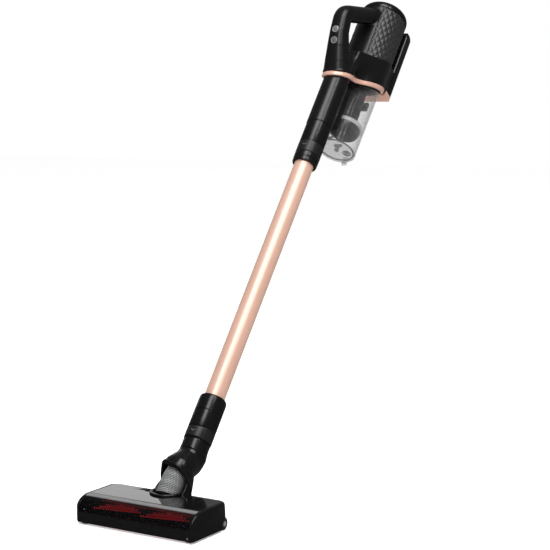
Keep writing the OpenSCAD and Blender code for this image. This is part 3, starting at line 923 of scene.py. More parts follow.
@dataclass
class HandUnit:
    """The held part: grip, motor drum, suction tube and filter lid."""

    maker: Maker
    trim: float = 942.5
    slope: float = math.tan(math.radians(24.2))
    ledge: float = 1003.0
    tube_r: float = 25.9
    lobe_r: float = 30.0
    drum_r: float = 50.5
    drum_y: float = 80.0
    waist_r: float = 30.0
    motor_r: float = 50.0
    cover_high: float = 1151.5
    collar_high: float = 811.5
    bend: tuple[float, float, float] = (-31.9, 1040.0, 26.0)

    def outline(self, x: np.ndarray, y: np.ndarray, grow: float = 0.0) -> np.ndarray:
        """Return the distance from the body's outline across the stick."""
        wx, wy = self.waist(grow)
        ax = np.abs(x)
        lobes = np.minimum(
            np.hypot(x, y) - self.lobe_r - grow, np.hypot(x, y - self.drum_y) - self.drum_r - grow
        )
        between = (wx * y - wy * ax > 0) & (wx * (y - self.drum_y) - (wy - self.drum_y) * ax < 0)
        return np.where(between, self.waist_r - grow - np.hypot(ax - wx, y - wy), lobes)

    def hull(self, x: np.ndarray, y: np.ndarray) -> np.ndarray:
        """Return the distance from the outline with its waists filled."""
        k = (self.drum_r - self.lobe_r) / self.drum_y
        c = math.sqrt(1 - k * k)
        ax = np.abs(x)
        along = y * c + ax * k
        flank = ax * c - y * k - self.lobe_r
        lobe, drum = np.hypot(x, y) - self.lobe_r, np.hypot(x, y - self.drum_y) - self.drum_r
        return np.where(along < 0, lobe, np.where(along > self.drum_y * c, drum, flank))

    def waist(self, grow: float) -> Point:
        """Return the centre of the waist's arc."""
        a, b = self.lobe_r + self.waist_r, self.drum_r + self.waist_r
        wy = (a * a - b * b + self.drum_y**2) / (2 * self.drum_y)
        return math.sqrt(a * a - wy * wy), wy

    def grip_path(self) -> Sweep:
        """Return the path of the looped grip."""
        by, bz, br = self.bend
        low = [
            (-2, 922, 28.6, 28.6),
            (-7, 944, 28, 28),
            (-21, 962, 25, 24),
            (-38, 986, 21, 20),
            (-51, 1010, 18.5, 17.5)
        ]
        arc = [
            (by + br * math.cos(a), bz + br * math.sin(a), 18, 17)
            for a in np.radians(np.linspace(190, 128, 9))
        ]
        dy, dz = math.cos(math.radians(38)), math.sin(math.radians(38))
        sy, sz = by - br * dz, bz + br * dy
        bar = [(sy + d * dy, sz + d * dz, 18, 17) for d in (20, 50, 80, 105)]
        return Sweep(tuple(low + arc + bar), 2.5)

    def body_field(self) -> Field:
        """Return the distance field of the grip, the drum and the motor's spine."""
        grip = self.grip_path()

        def field_of(x: np.ndarray, y: np.ndarray, z: np.ndarray) -> np.ndarray:
            """Return the distance to the body and its handle."""
            tilt = math.cos(math.radians(24.2))
            rise = np.clip((z - self.slope * y - self.trim - 3) / (self.ledge - self.trim - 18), 0, 1)
            rise = rise * rise * (3 - 2 * rise)
            drum = self.outline(x, y) * (1 - rise) + self.hull(x, y) * rise
            saddle = np.maximum(np.abs(x) - 34.5, np.abs(y - 108) - 22.7)
            drum = join(drum, saddle, 9)
            below_ledge = (z - self.ledge - self.slope * y) * tilt
            drum = meet(drum, below_ledge, 2.2)
            drum = meet(drum, -(y + 4), 4)
            loop = grip.distance(x, y, z)
            body = join(drum, loop, 17)
            axis = np.hypot(x, y - self.drum_y)
            angle = np.abs(np.arctan2(x, self.drum_y - y))
            spine = np.maximum(
                np.maximum(axis - self.motor_r, 46.4 - axis), (angle - math.radians(24)) * 50
            )
            spine = np.maximum(spine, z - self.cover_high + 0.4)
            body = meet(body, 46.8 - axis, 0.8)
            outside = np.maximum(body, np.where(z > self.ledge + self.slope * y, self.motor_r - axis, -1e3))
            body = join(outside, spine, 5)
            above_trim = -(z - self.trim - self.slope * y) * tilt
            return meet(body, above_trim, 1.2)

        return field_of

    def body(self) -> None:
        """Build the smooth black body."""
        points, faces = surface_net(
            self.body_field(), (-56, -80, 922), (56, 134, 1156), 1.3
        )
        piece = self.maker.piece("hand_body", points, faces, Look.BODY, STICK, 48, merge=False)
        nodes = ("housing_left", "housing_right", "handle_left", "handle_right")
        self.maker.keep(piece, "hand_unit", "black_gloss", nodes)

    def outline_points(self, grow: float) -> list[Point]:
        """Return the outline as points, open at the battery's side."""
        wx, wy = self.waist(grow)
        r1, r2, rw = self.lobe_r + grow, self.drum_r + grow, self.waist_r - grow
        front = math.atan2(-wy, -wx) + math.pi
        right: list[Point] = []
        for a in np.linspace(-math.pi / 2, front, 22):
            right.append((r1 * math.cos(a), r1 * math.sin(a)))
        back = math.atan2(self.drum_y - wy, -wx)
        for a in np.linspace(math.atan2(-wy, -wx) + 2 * math.pi, back, 14)[1:]:
            right.append((wx + rw * math.cos(a), wy + rw * math.sin(a)))
        start = math.atan2(wy - self.drum_y, wx)
        cut = 130.4 - self.drum_y
        for a in np.linspace(start, math.asin(min(cut / r2, 1)), 34)[1:]:
            right.append((r2 * math.cos(a), self.drum_y + r2 * math.sin(a)))
        return [(-x, y) for x, y in reversed(right[1:])] + right

    def trim_band(self) -> None:
        """Build the rose band between the body and the dust box."""
        path = self.outline_points(0.0)
        section = rounded([(-3.5, -10.4), (1.6, -10.4), (1.6, 0.0), (-3.5, 0.0)], [0.3, 4.2, 3.4, 0.3], 7)
        points, n = [], len(section)
        for i, (x, y) in enumerate(path):
            a, b = np.array(path[max(i - 1, 0)]), np.array(path[min(i + 1, len(path) - 1)])
            t = (b - a) / np.linalg.norm(b - a)
            for out, up in section:
                px, py = x + t[1] * out, min(y - t[0] * out, 130.9)
                points.append((px, py, self.trim + up + self.slope * py))
        faces = []
        for i in range(len(path) - 1):
            faces += [
                (i * n + k, i * n + (k + 1) % n, (i + 1) * n + (k + 1) % n, (i + 1) * n + k)
                for k in range(n)
            ]
        faces += [tuple(range(n)), tuple(range((len(path) - 1) * n, len(path) * n))]
        piece = self.maker.piece("trim_ring", np.array(points), faces, Look.ROSE, STICK)
        self.maker.keep(piece, "hand_unit", "rose_gloss", ("trim_band",))

    def tube(self) -> None:
        """Build the suction tube with its side duct."""
        low, high, r = self.collar_high + 0.3, self.trim, self.tube_r
        outer = [(r - 0.6, low), (r, low + 0.7), (r, high + 6)]
        points, faces = lathe([(20, low), *outer, (20, high + 6)], segments=144)
        roof = self.trim - 1
        points[:, 2] = np.minimum(points[:, 2], roof + self.slope * points[:, 1])
        tube = self.maker.piece("suction_pipe", points, faces, Look.TUBE, STICK)
        self.maker.keep(tube, "hand_unit", "black_gloss", ("suction_tube",))

        def duct(x: np.ndarray, y: np.ndarray, z: np.ndarray) -> np.ndarray:
            """Return the distance to the fairing beside the tube."""
            side = np.maximum(np.abs(x) - 10 - 0.12 * (y - 22), np.abs(y - 32) - 12)
            side = meet(side, np.maximum(832 - z, z - self.trim + 12 - self.slope * y), 8)
            side = join(side, np.hypot(x, y) - self.tube_r, 7)
            side = np.maximum(side, 43.2 - np.hypot(x, y - 86))
            return np.maximum(side, self.tube_r - 0.4 - np.hypot(x, y))

        points, faces = surface_net(duct, (-28, -4, 824), (28, 46, 950), 1.2)
        piece = self.maker.piece("duct_fairing", points, faces, Look.TUBE, STICK, 50, merge=False)
        self.maker.keep(piece, "hand_unit", "black_gloss")

    def casing(self) -> None:
        """Build the motor's inner casing."""
        line = [(44.6, 948), (46.2, 949.5), (46.2, 1146), (44.6, 1147)]
        points, faces = lathe(wall(line, 2.0), self.drum_y)
        points[:, 2] = np.maximum(points[:, 2], self.trim - 6 + self.slope * points[:, 1])
        piece = self.maker.piece("motor_sleeve", points, faces, Look.MATTE, STICK)
        self.maker.keep(piece, "hand_unit", "black_gloss", ("motor_casing",))

    def quilted_cover(self) -> None:
        """Build the filter cover's quilted skin, cell by cell, with Geometry Nodes."""
        sizes = {"Radius": self.motor_r, "Cell": 13.0, "Depth": 1.5, "Half Gap": math.radians(24.6)}
        tree = GeometryTree(
            "quilted_skin",
            {k: v * (1 if k == "Half Gap" else MM) for k, v in sizes.items()},
            Look.QUILT.material()
        )
        grid = tree.raw(
            "GeometryNodeMeshGrid",
            None,
            {"Size X": 1.0, "Size Y": 1.0, "Vertices X": 420, "Vertices Y": 190}
        )
        place = tree.raw("ShaderNodeSeparateXYZ", None, [tree.node("GeometryNodeInputPosition")])
        across, along = Value(tree, place.outputs[0]) + 0.5, Value(tree, place.outputs[1]) + 0.5
        gap, radius = tree.given("Half Gap"), tree.given("Radius")
        angle = (gap + across * (2 * math.pi - 2 * gap)) - math.pi / 2
        y = radius * angle.sin()
        base = (self.ledge + 0.6) * MM + (y + self.drum_y * MM) * self.slope
        top = (self.cover_high - 0.4) * MM
        height = base + along * (top - base)
        arc = angle * radius / tree.given("Cell")
        rise = height / tree.given("Cell")
        first = abs(((arc + rise * 0.62) * math.pi).sin())
        second = abs(((arc - rise * 0.62) * math.pi).sin())
        pillow = (first * second) ** 0.55
        border = along.step(0.0, 0.02) * (1.0 - along.step(0.975, 1.0)) * across.step(0.0, 0.012) * (
            1.0 - across.step(0.988, 1.0)
        )
        reach = radius - tree.given("Depth") * (1.0 - pillow * border)
        spot = tree.vector(reach * angle.cos(), reach * angle.sin() + self.drum_y * MM, height)
        moved = tree.node(
            "GeometryNodeSetPosition", None, {"Geometry": Value(tree, grid.outputs[0]), "Position": spot}
        )
        start = bpy.data.objects.new("start", bpy.data.meshes.new("start"))
        bpy.context.scene.collection.objects.link(start)
        piece = tree.run(moved, start, "quilted_cover")
        flat = np.array([v.co for v in piece.data.vertices]) / MM
        piece.data.vertices.foreach_set("co", STICK.place(flat).astype(np.float32).ravel())
        applied(piece, "SOLIDIFY", thickness=2.2 * MM, offset=-1.0)
        Maker.soften(piece, 60)
        self.maker.keep(piece, "filter_lid", "quilted_grey", ("filter_cover",))

    def cap(self) -> None:
        """Build the domed cap with its rim groove."""
        r, low, rise = self.motor_r, self.cover_high, 32.0
        line = [(r - 0.5, low), (r, low + 0.6), (r, low + 3.6), (r - 0.9, low + 4.2), (r - 0.9, low + 4.9)]
        line += [
            ((r - 0.3) * math.cos(a), low + 4.9 + (rise - 8.4) * math.sin(a))
            for a in np.radians(np.linspace(2, 90, 34))
        ]
        inner = [(0.0, low + rise - 6), (r * 0.6, low + rise - 12), (r - 3, low + 4), (r - 3, low)]
        points, faces = lathe(line + inner, self.drum_y, 128)
        piece = self.maker.piece("domed_cap", points, faces, Look.GLOSS, STICK)
        self.maker.keep(piece, "filter_lid", "black_gloss", ("filter_cap",))

    def thumb_keys(self) -> None:
        """Build the two round keys, each with a rim round a speckled disc."""
        keys = (
            ("power", -67.4, 1004.8, 114.0, "power_key", "power_button", Look.UPPER_KEY, Look.RIM),
            ("speed", -58.3, 984.0, 118.0, "speed_key", "speed_button", Look.LOWER_KEY, Look.STRIP),
        )
        for name, y, z, turn, body, node, disc, rim in keys:
            a = math.radians(turn)
            ring = rounded([(5.2, -4.0), (7.0, -4.0), (7.0, 1.5), (5.2, 1.3)], [0, 0, 0.7, 0.4], 4)
            plate = [(0.0, -3.0), (5.3, -3.0), (5.3, 0.9), (4.2, 1.15), (0.0, 1.25)]
            for part, loop, look in (("rim", ring, rim), ("disc", plate, disc)):
                points, faces = lathe(loop, 0.0, 64)
                turned = np.column_stack((
                    points[:, 0],
                    y + points[:, 1] * math.cos(a) - points[:, 2] * math.sin(a),
                    z + points[:, 1] * math.sin(a) + points[:, 2] * math.cos(a),
                ))
                piece = self.maker.piece(f"{name}_key_{part}", turned, faces, look, STICK)
                slot = "button_upper" if name == "power" else "button_lower"
                self.maker.keep(piece, body, slot, (node,) if part == "disc" else ())

    def build(self) -> None:
        """Build every piece of the hand unit."""
        self.body()
        self.trim_band()
        self.tube()
        self.casing()
        self.quilted_cover()
        self.cap()
        self.thumb_keys()


@dataclass
class Battery:
    """The clip-on battery with its rose foot and side rails."""

    maker: Maker
    front: float = 131.3
    rear: float = 154.0
    low: float = 1006.0
    high: float = 1162.5
    half: float = 34.5

    def build(self) -> None:
        """Build the case, the foot and the rails."""
        loop = [
            (self.front, self.low), (self.rear, self.low), (self.rear, self.high), (self.front, self.high)
        ]
        points, faces = prism(rounded(loop, [0.5, 0.8, 15.0, 3.0], 8), -self.half, self.half)
        case = self.maker.piece("battery_shell", points, faces, Look.GLOSS, STICK)
        applied(
            case, "BEVEL", width=2.4 * MM, segments=4, limit_method="ANGLE", angle_limit=math.radians(50)
        )
        Maker.soften(case)
        self.maker.keep(case, "battery", "black_gloss", ("battery_case",))
        loop = [
            (self.front, self.low - 12),
            (self.rear, self.low - 12),
            (self.rear, self.low - 0.1),
            (self.front, self.low - 0.1)
        ]
        points, faces = prism(rounded(loop, [1.0, 1.6, 0.4, 0.4], 4), -self.half, self.half)
        foot = self.maker.piece("battery_base", points, faces, Look.ROSE, STICK)
        applied(
            foot, "BEVEL", width=1.4 * MM, segments=3, limit_method="ANGLE", angle_limit=math.radians(50)
        )
        Maker.soften(foot)
        self.maker.keep(foot, "battery", "rose_gloss", ("battery_foot",))
        for side in (-1, 1):
            x = side * self.half
            loop = rounded(
                [
                    (self.front + 0.2, 1056),
                    (self.front + 3.2, 1056),
                    (self.front + 3.2, 1151),
                    (self.front + 0.2, 1151),
                ],
                1.4,
                5
            )
            points, faces = prism(loop, x - 0.6, x + 0.6)
            rail = self.maker.piece(
                f"battery_rail_{'right' if side > 0 else 'left'}", points, faces, Look.STRIP, STICK
            )
            self.maker.keep(rail, "battery", "grey_mid", ("battery_strips",))


# ---------------------------------------------------------------- dust box


@dataclass
class DustBox:
    """The clear box with its cyclone and its base flap."""

    maker: Maker
    y: float = 86.0
    low: float = 818.5
    base_r: float = 39.6
    top_r: float = 41.4
    roof: float = 929.9
    slope: float = math.tan(math.radians(24.2))

    def cut(self, points: np.ndarray, roof: float) -> np.ndarray:
        """Lower points to the slanted roof of the box."""
        points[:, 2] = np.minimum(points[:, 2], roof + self.slope * points[:, 1])
        return points

    def shell(self) -> None:
        """Build the clear wall with a thicker rim at its base."""
        tall = 170.0

        def r(z: float) -> float:
            """Return the box's outer radius at a height."""
            return self.base_r + (self.top_r - self.base_r) * (z - self.low) / tall

        line = [
            (r(self.low) + 0.3, self.low + 0.3),
            (r(self.low) + 0.5, self.low + 2.6),
            (r(self.low + 4), self.low + 4)
        ]
        line += [(r(z), z) for z in np.linspace(self.low + 10, self.low + tall, 18)]
        points, faces = lathe(wall(line, 2.1), self.y, 128)
        piece = self.maker.piece("clear_box", self.cut(points, self.roof), faces, Look.SHELL, STICK, 50)
        self.maker.keep(piece, "dust_bin", "clear_shell", ("dust_box",))
        for side in (-1, 1):
            loop = rounded([(38.9, 814.2), (43.6, 813.6), (48.4, 822), (47, 826), (43, 822)], 1.6, 4)
            points, faces = prism(loop, side * 5.4, side * 8.4)
            ear = self.maker.piece(
                f"hinge_ear_{'right' if side > 0 else 'left'}", points, faces, Look.STRIP, STICK
            )
            self.maker.keep(ear, "dust_bin", "clear_shell")

    def cyclone(self) -> None:
        """Build the cup, the pale ring and the dark column."""
        bowl = [(0.0, 853.0), (14.0, 853.6), (22.0, 855.4), (28.0, 859.5), (31.4, 866.0), (32.4, 874.0)]
        points, faces = lathe(wall(bowl, 1.8), self.y + 1.5, 96)
        cup = self.maker.piece("cyclone_bowl", points, faces, Look.COLUMN, STICK, 50)
        self.maker.keep(cup, "dust_bin", "black_satin", ("cyclone_cup",))
        loop = rounded([(17.2, 874.1), (34.2, 874.1), (34.0, 883.8), (17.2, 883.8)], [0, 0.8, 2.0, 0], 4)
        points, faces = lathe(loop, self.y + 1.5, 96)
        ring = self.maker.piece("cyclone_band", points, faces, Look.LIGHT, STICK)
        self.maker.keep(ring, "dust_bin", "grey_light", ("cyclone_ring",))
        line = [(21.0, 884), (21.0, 890), (18.6, 893), (18.6, 986)]
        points, faces = lathe(wall(line, 2.0), self.y, 96)
        column = self.maker.piece(
            "cyclone_column", self.cut(points, self.roof), faces, Look.COLUMN, STICK, 50
        )
        self.maker.keep(column, "dust_bin", "grey_dark", ("cyclone_mesh",))
        self.vanes()

    def vanes(self) -> None:
        """Set slim ribs round the column with Geometry Nodes."""
        tree = GeometryTree(
            "column_ribs",
            {"Rib Width": 1.1 * MM, "Rib Depth": 1.0 * MM, "Rib Height": 26 * MM},
            Look.KEY.material()
        )
        rib = tree.node(
            "GeometryNodeMeshCube",
            None,
            {
                "Size": tree.vector(
                    tree.given("Rib Depth"), tree.given("Rib Width"), tree.given("Rib Height")
                )
            },
        )
        turn = tree.node("GeometryNodeInputNamedAttribute", {"data_type": "FLOAT_VECTOR"}, {"Name": "turn"})
        rotation = tree.node("FunctionNodeEulerToRotation", None, [turn])
        inputs = {"Points": tree.given("Geometry"), "Instance": rib, "Rotation": rotation}
        placed = tree.node("GeometryNodeInstanceOnPoints", None, inputs)
        count, spots, turns = 28, [], []
        for k in range(count):
            a = 2 * math.pi * k / count
            spots.append((18.7 * math.cos(a), self.y + 18.7 * math.sin(a), 907.5))
            turns.append((-math.radians(STICK.lean), 0.0, a))
        start = point_cloud(STICK.place(np.array(spots)), {"turn": leaned(turns)})
        self.maker.keep(tree.run(placed, start, "column_ribs"), "dust_bin", "grey_dark")

    def flap(self) -> None:
        """Build the base flap, its post and its round vent."""
        loop = rounded(
            [
                (0.0, 815.4),
                (38.8, 815.4),
                (39.6, 816.2),
                (39.6, 818.1),
                (34.0, 818.1),
                (33.0, 817.2),
                (0.0, 817.2),
            ],
            0.5,
            3
        )
        points, faces = lathe([(max(r, 0.0), z) for r, z in loop], self.y, 96)
        disc = self.maker.piece("flap_disc", points, faces, Look.FLAP, STICK)
        self.maker.keep(disc, "bin_flap", "grey_light", ("base_flap",))
        points, faces = lathe([(2.6, 813.5), (2.6, 818.5), (1.5, 818.5), (1.5, 813.5)], 41.6, 24)
        turned = np.column_stack((points[:, 2] - 816.0, points[:, 1], points[:, 0] + 816.0)) * (1.9, 1, 1)
        knuckle = self.maker.piece("flap_knuckle", turned, faces, Look.FLAP, STICK)
        self.maker.keep(knuckle, "bin_flap", "grey_light")
        points, faces = prism(
            rounded([(124.6, 815.6), (127.4, 815.6), (127.4, 818.1), (124.6, 818.1)], 0.6, 3), -5, 5
        )
        tab = self.maker.piece("flap_tab", points, faces, Look.FLAP, STICK)
        self.maker.keep(tab, "bin_flap", "grey_light")
        stem = rounded(
            [(0.0, 817.3), (5.4, 817.3), (4.4, 819.5), (3.8, 832.0), (0.0, 832.4)], [0, 0.5, 1, 1.2, 0], 3
        )
        points, faces = lathe(stem, self.y, 40)
        post = self.maker.piece("flap_stem", points, faces, Look.GLOSS, STICK)
        self.maker.keep(post, "bin_flap", "black_satin", ("flap_post",))
        loop = rounded(
            [(self.y - 2.4, 827.5), (self.y + 2.4, 827.5), (self.y + 2.4, 832.2), (self.y - 2.4, 832.2)],
            1.0,
            3
        )
        points, faces = prism(loop, -9, 9)
        bar = self.maker.piece("flap_bar", points, faces, Look.GLOSS, STICK)
        applied(
            bar, "BEVEL", width=0.7 * MM, segments=2, limit_method="ANGLE", angle_limit=math.radians(50)
        )
        self.maker.keep(bar, "bin_flap", "black_satin")
        for r_out, r_in, rise in ((9.0, 7.4, 1.4), (5.6, 4.2, 1.2), (2.4, 0.0, 1.2)):
            loop = [(r_in, 817.2), (r_out, 817.2), (r_out, 817.2 + rise), (r_in, 817.2 + rise)]
            points, faces = lathe(loop, 0.0, 40)
            points += (19.0, self.y + 10.0, 0.0)
            vent = self.maker.piece(f"flap_vent_{int(r_out)}", points, faces, Look.MATTE, STICK)
            self.maker.keep(vent, "bin_flap", "grey_light")

    def build(self) -> None:
        """Build the dust box."""
        self.shell()
        self.cyclone()
        self.flap()


def leaned(turns: Sequence[tuple[float, float, float]]) -> np.ndarray:
    """Return Euler angles of a turn about z followed by a lean about x."""
    out = []
    for lean, _, turn in turns:
        matrix = Matrix.Rotation(lean, 3, "X") @ Matrix.Rotation(turn, 3, "Z")
        out.append(tuple(matrix.to_euler("XYZ")))
    return np.array(out)


def point_cloud(points: np.ndarray, vectors: dict[str, np.ndarray]) -> bpy.types.Object:
    """Return a mesh of loose points that carries vectors for a geometry tree."""
    mesh = bpy.data.meshes.new("start")
    mesh.from_pydata([tuple(p) for p in points], [], [])
    for name, values in vectors.items():
        mesh.attributes.new(name, "FLOAT_VECTOR", "POINT").data.foreach_set(
            "vector", np.asarray(values, np.float32).ravel()
        )
    start = bpy.data.objects.new("start", mesh)
    bpy.context.scene.collection.objects.link(start)
    return start


# ---------------------------------------------------------------- wand and neck


@dataclass
class Wand:
    """The metal tube, its upper collar and the release key."""

    maker: Maker
    tube_r: float = 19.0
    collar_r: float = 25.0
    low: float = 717.5
    key: tuple[float, float] = (738.5, 762.5)
    high: float = 811.5

    def build(self) -> None:
        """Build the wand."""
        line = [(self.tube_r, 141.0), (self.tube_r, 741.0)]
        points, faces = lathe(wall(line, 1.0), segments=160)
        tube = self.maker.piece("wand_pipe", points, faces, Look.WAND, STICK)
        self.maker.keep(tube, "wand", "rose_anodised", ("wand_tube",))
        a, b = self.key
        r = self.collar_r
        loop = [
            (19.05, self.low + 0.4),
            (21.0, self.low),
            (23.9, self.low + 1.2),
            (24.6, self.low + 4),
            (24.3, self.low + 8.4)
        ]
        loop += [(24.9, self.low + 9.2), (r, a - 0.8), (r - 0.4, a - 0.2), (20.5, a - 0.2), (20.5, b + 0.2)]
        loop += [
            (r - 0.4, b + 0.2), (r, b + 0.8), (r, self.high - 0.7), (r - 0.7, self.high), (21.8, self.high)
        ]
        loop += [
            (21.8, self.high + 57),
            (21.0, self.high + 58),
            (18.0, self.high + 58),
            (18.0, 741.0),
            (19.05, 741.0)
        ]
        points, faces = lathe(loop, segments=144)
        collar = self.maker.piece("wand_sleeve", points, faces, Look.TUBE, STICK)
        self.maker.keep(collar, "wand", "black_gloss", ("wand_collar",))
        ring = rounded([(22.4, a), (r + 0.15, a), (r + 0.15, b), (22.4, b)], [0.2, 0.8, 0.8, 0.2], 4)
        points, faces = lathe(ring, segments=120, span=(-190, 10))
        key = self.maker.piece("wand_key_band", points, faces, Look.KEY, STICK)
        self.maker.keep(key, "wand_key", "grey_dark", ("wand_release",))
        points, faces = lathe(ring, segments=80, span=(16, 164))
        back = self.maker.piece("wand_key_back", points, faces, Look.KEY, STICK)
        self.maker.keep(back, "wand", "grey_dark")
        chevron(self.maker, "wand_key_mark", r + 0.1, 0.5 * (a + b) + 1, "wand_key", "grey_light")


def chevron(maker: Maker, name: str, radius: float, height: float, body: str, slot: str) -> None:
    """Set a small raised pointing mark on the front of a round key."""
    wide, tall, stroke = 4.4, 2.6, 1.0
    line = [(-wide, tall), (0.0, 0.0), (wide, tall)]
    outer = line + [(wide, tall - stroke), (0.0, -stroke), (-wide, tall - stroke)]
    points = []
    for depth in (-0.35, 0.25):
        for x, z in outer:
            a = x / radius
            points.append(((radius + depth) * math.sin(a), -(radius + depth) * math.cos(a), height + z))
    faces = [(0, 1, 4, 5), (1, 2, 3, 4), (6, 7, 10, 11), (7, 8, 9, 10)]
    faces += [(k, (k + 1) % 6, 6 + (k + 1) % 6, 6 + k) for k in range(6)]
    mark = maker.piece(name, np.array(points), faces, Look.STRIP, STICK)
    maker.keep(mark, body, slot)


@dataclass
class Neck:
    """The sleeve that takes the wand, the swivel and the forked elbow."""

    maker: Maker
    r: float = 25.7
    sleeve: float = 113.5
    band: tuple[float, float] = (115.0, 137.0)
    mouth: float = 170.5
    top: float = 201.5
    seam: float = 84.2
    tube_off: float = -14.2

    def sleeve_parts(self) -> None:
        """Build the turned parts of the neck."""
        r = self.r
        line = [
            (19.1, self.mouth + 0.2),
            (r - 0.6, self.mouth + 0.2),
            (r, self.mouth + 0.9),
            (r, 190.0),
            (r - 0.2, 196.0)
        ]
        line += [
            (r - 0.7, 198.6),
            (r - 1.6, 200.3),
            (r - 3.0, self.top),
            (20.2, self.top),
            (19.1, self.top - 0.8)
        ]
        points, faces = lathe(line, segments=144)
        mouth = self.maker.piece("neck_lip", points, faces, Look.GLOSS, STICK)
        self.maker.keep(mouth, "neck", "black_gloss", ("neck_mouth",))
        a, b = self.band
        loop = [
            (18.0, self.sleeve),
            (r - 0.6, self.sleeve),
            (r - 0.3, a - 0.3),
            (20.5, a - 0.3),
            (20.5, b + 0.3),
            (r - 0.3, b + 0.3)
        ]
        loop += [
            (r, b + 1.0),
            (r, self.mouth - 0.8),
            (r - 0.7, self.mouth - 0.2),
            (19.06, self.mouth - 0.2),
            (19.06, 140),
            (18.0, 140)
        ]
        points, faces = lathe(loop, segments=144)
        sleeve = self.maker.piece("neck_barrel", points, faces, Look.GLOSS, STICK)
        self.maker.keep(sleeve, "neck", "black_gloss", ("neck_sleeve",))
        ring = rounded([(22.6, a), (r + 0.1, a), (r + 0.1, b), (22.6, b)], [0.2, 0.7, 0.7, 0.2], 4)
        points, faces = lathe(ring, segments=110, span=(-48, 228))
        band = self.maker.piece("neck_ring", points, faces, Look.KEY, STICK)
        self.maker.keep(band, "neck", "black_satin", ("neck_band",))
        ring = rounded(
            [(22.6, a + 1), (r + 0.45, a + 1), (r + 0.45, b - 1), (22.6, b - 1)], [0.2, 1.0, 1.0, 0.2], 4
        )
        points, faces = lathe(ring, segments=48, span=(-129.5, -50.5))
        key = self.maker.piece("neck_key_plate", points, faces, Look.KEY, STICK)
        self.maker.keep(key, "neck_key", "grey_dark", ("neck_release",))
        chevron(self.maker, "neck_key_mark", r + 0.4, 0.5 * (a + b), "neck_key", "grey_light")

    def centre(self, frame: Frame, y: float, z: float) -> Point:
        """Return a frame's point as y and z of the scene in millimetres."""
        spot = frame.point(0.0, y, z) / MM
        return spot.y, spot.z

    def lower(self) -> None:
        """Build the bent piece between the sleeve and the swivel."""
        spots = (
            (ELBOW, self.tube_off, self.seam - 6, 26),
            (ELBOW, self.tube_off, self.seam + 3, 26),
            (STICK, 0, 99, 25.0),
            (STICK, 0, 120, 24.6)
        )
        path = Sweep(tuple((*self.centre(f, y, z), w, w) for f, y, z, w in spots), 2.0)
        inner = Sweep(tuple((*self.centre(f, y, z), 18.0, 18.0) for f, y, z, w in spots), 2.0)

        def bent(x: np.ndarray, y: np.ndarray, z: np.ndarray) -> np.ndarray:
            """Return the distance to the bent pipe under the neck."""
            _, ez = ELBOW.local(y, z)
            _, sz = STICK.local(y, z)
            solid = meet(path.distance(x, y, z), self.seam + 0.35 - ez, 1.2)
            solid = meet(solid, sz - self.sleeve + 0.3, 1.0)
            return np.maximum(solid, -inner.distance(x, y, z))

        points, faces = surface_net(bent, (-30, 140, 66), (30, 226, 156), 1.0)
        piece = self.maker.piece("neck_bend", points, faces, Look.GLOSS, GROUND, 50, merge=False)
        self.maker.keep(piece, "neck", "black_gloss", ("neck_lower",))

    def elbow(self) -> None:
        """Build the forked elbow with its raised arch."""
        spots = (
            (FORK, 0.0, -16.0, 34.5, 24.0),
            (FORK, 0.5, 20.0, 34.3, 26.0),
            (FORK, -3.5, 36.0, 32.2, 26.3),
            (FORK, -7.5, 50.0, 29.2, 26.4),
            (ELBOW, self.tube_off, self.seam - 12, 26.4, 26.2),
            (ELBOW, self.tube_off, self.seam + 4, 26.0, 26.0),
        )
        outer = Sweep(tuple((*self.centre(f, y, z), w, t) for f, y, z, w, t in spots), 2.15)
        hollow = (
            (FORK, -3.0, -20.0, 30.8, 24.0),
            (FORK, -4.0, 26.0, 30.3, 24.0),
            (FORK, -7.5, 46.0, 26.4, 23.5),
            (ELBOW, self.tube_off, self.seam - 10, 21.8, 21.8),
            (ELBOW, self.tube_off, self.seam + 8, 21.8, 21.8),
        )
        inner = Sweep(tuple((*self.centre(f, y, z), w, t) for f, y, z, w, t in hollow), 2.15)
        slant = math.radians(38)

        def fork(x: np.ndarray, y: np.ndarray, z: np.ndarray) -> np.ndarray:
            """Return the distance to the fork, cleared for the socket's travel."""
            fy, fz = FORK.local(y, z)
            _, ez = ELBOW.local(y, z)
            far = np.clip(-x / 30.0, 0, 1)
            arch = (fz - 19.0 - 9.0 * far) * math.cos(slant) + (fy + 2.0 - 8.0 * far) * math.sin(slant)
            shell = outer.distance(x, y, z)
            lip = shell - 2.0 * np.exp(-((arch - 2.0) ** 2) / 5.0)
            reach = np.hypot(fy, fz)
            along = np.clip(fz / 28.0, 0, 1)
            bend = (4.0 + 4.0 * far) * along
            thick = 10.8 + 2.7 * along * (1 - far) - 2.8 * far
            arm = np.maximum(np.hypot(fy - bend, fz - 28.0 * along) - thick, 30.4 - np.abs(x))
            keep = join(-arch, np.where(reach < 60, arm, 60.0), 5.0)
            solid = meet(lip, keep, 1.6)
            solid = meet(solid, ez - self.seam, 1.2)
            solid = np.maximum(solid, -inner.distance(x, y, z))
            for degrees in np.linspace(-38.0, 30.0, 12):
                c, d = math.cos(math.radians(degrees)), math.sin(math.radians(degrees))
                py, pz = (y - 106) * c + (z - 40) * d + 106, (z - 40) * c - (y - 106) * d + 40
                low = np.maximum(np.hypot(x, py - 98) - 29.3, pz - 52.0)
                ring = np.maximum(np.hypot(x, py - 98) - 30.7, np.abs(pz - 51.0) - 2.6)
                solid = np.maximum(solid, -np.minimum(low, ring))
            return np.maximum(solid, np.abs(x) - 36.4)

        points, faces = surface_net(fork, (-40, 72, 16), (40, 196, 130), 1.0)
        piece = self.maker.piece("forked_elbow", points, faces, Look.GLOSS, GROUND, 50, merge=False)
        self.maker.keep(piece, "neck_elbow", "black_gloss", ("elbow",))

    def build(self) -> None:
        """Build the neck."""
        self.sleeve_parts()
        self.lower()
        self.elbow()


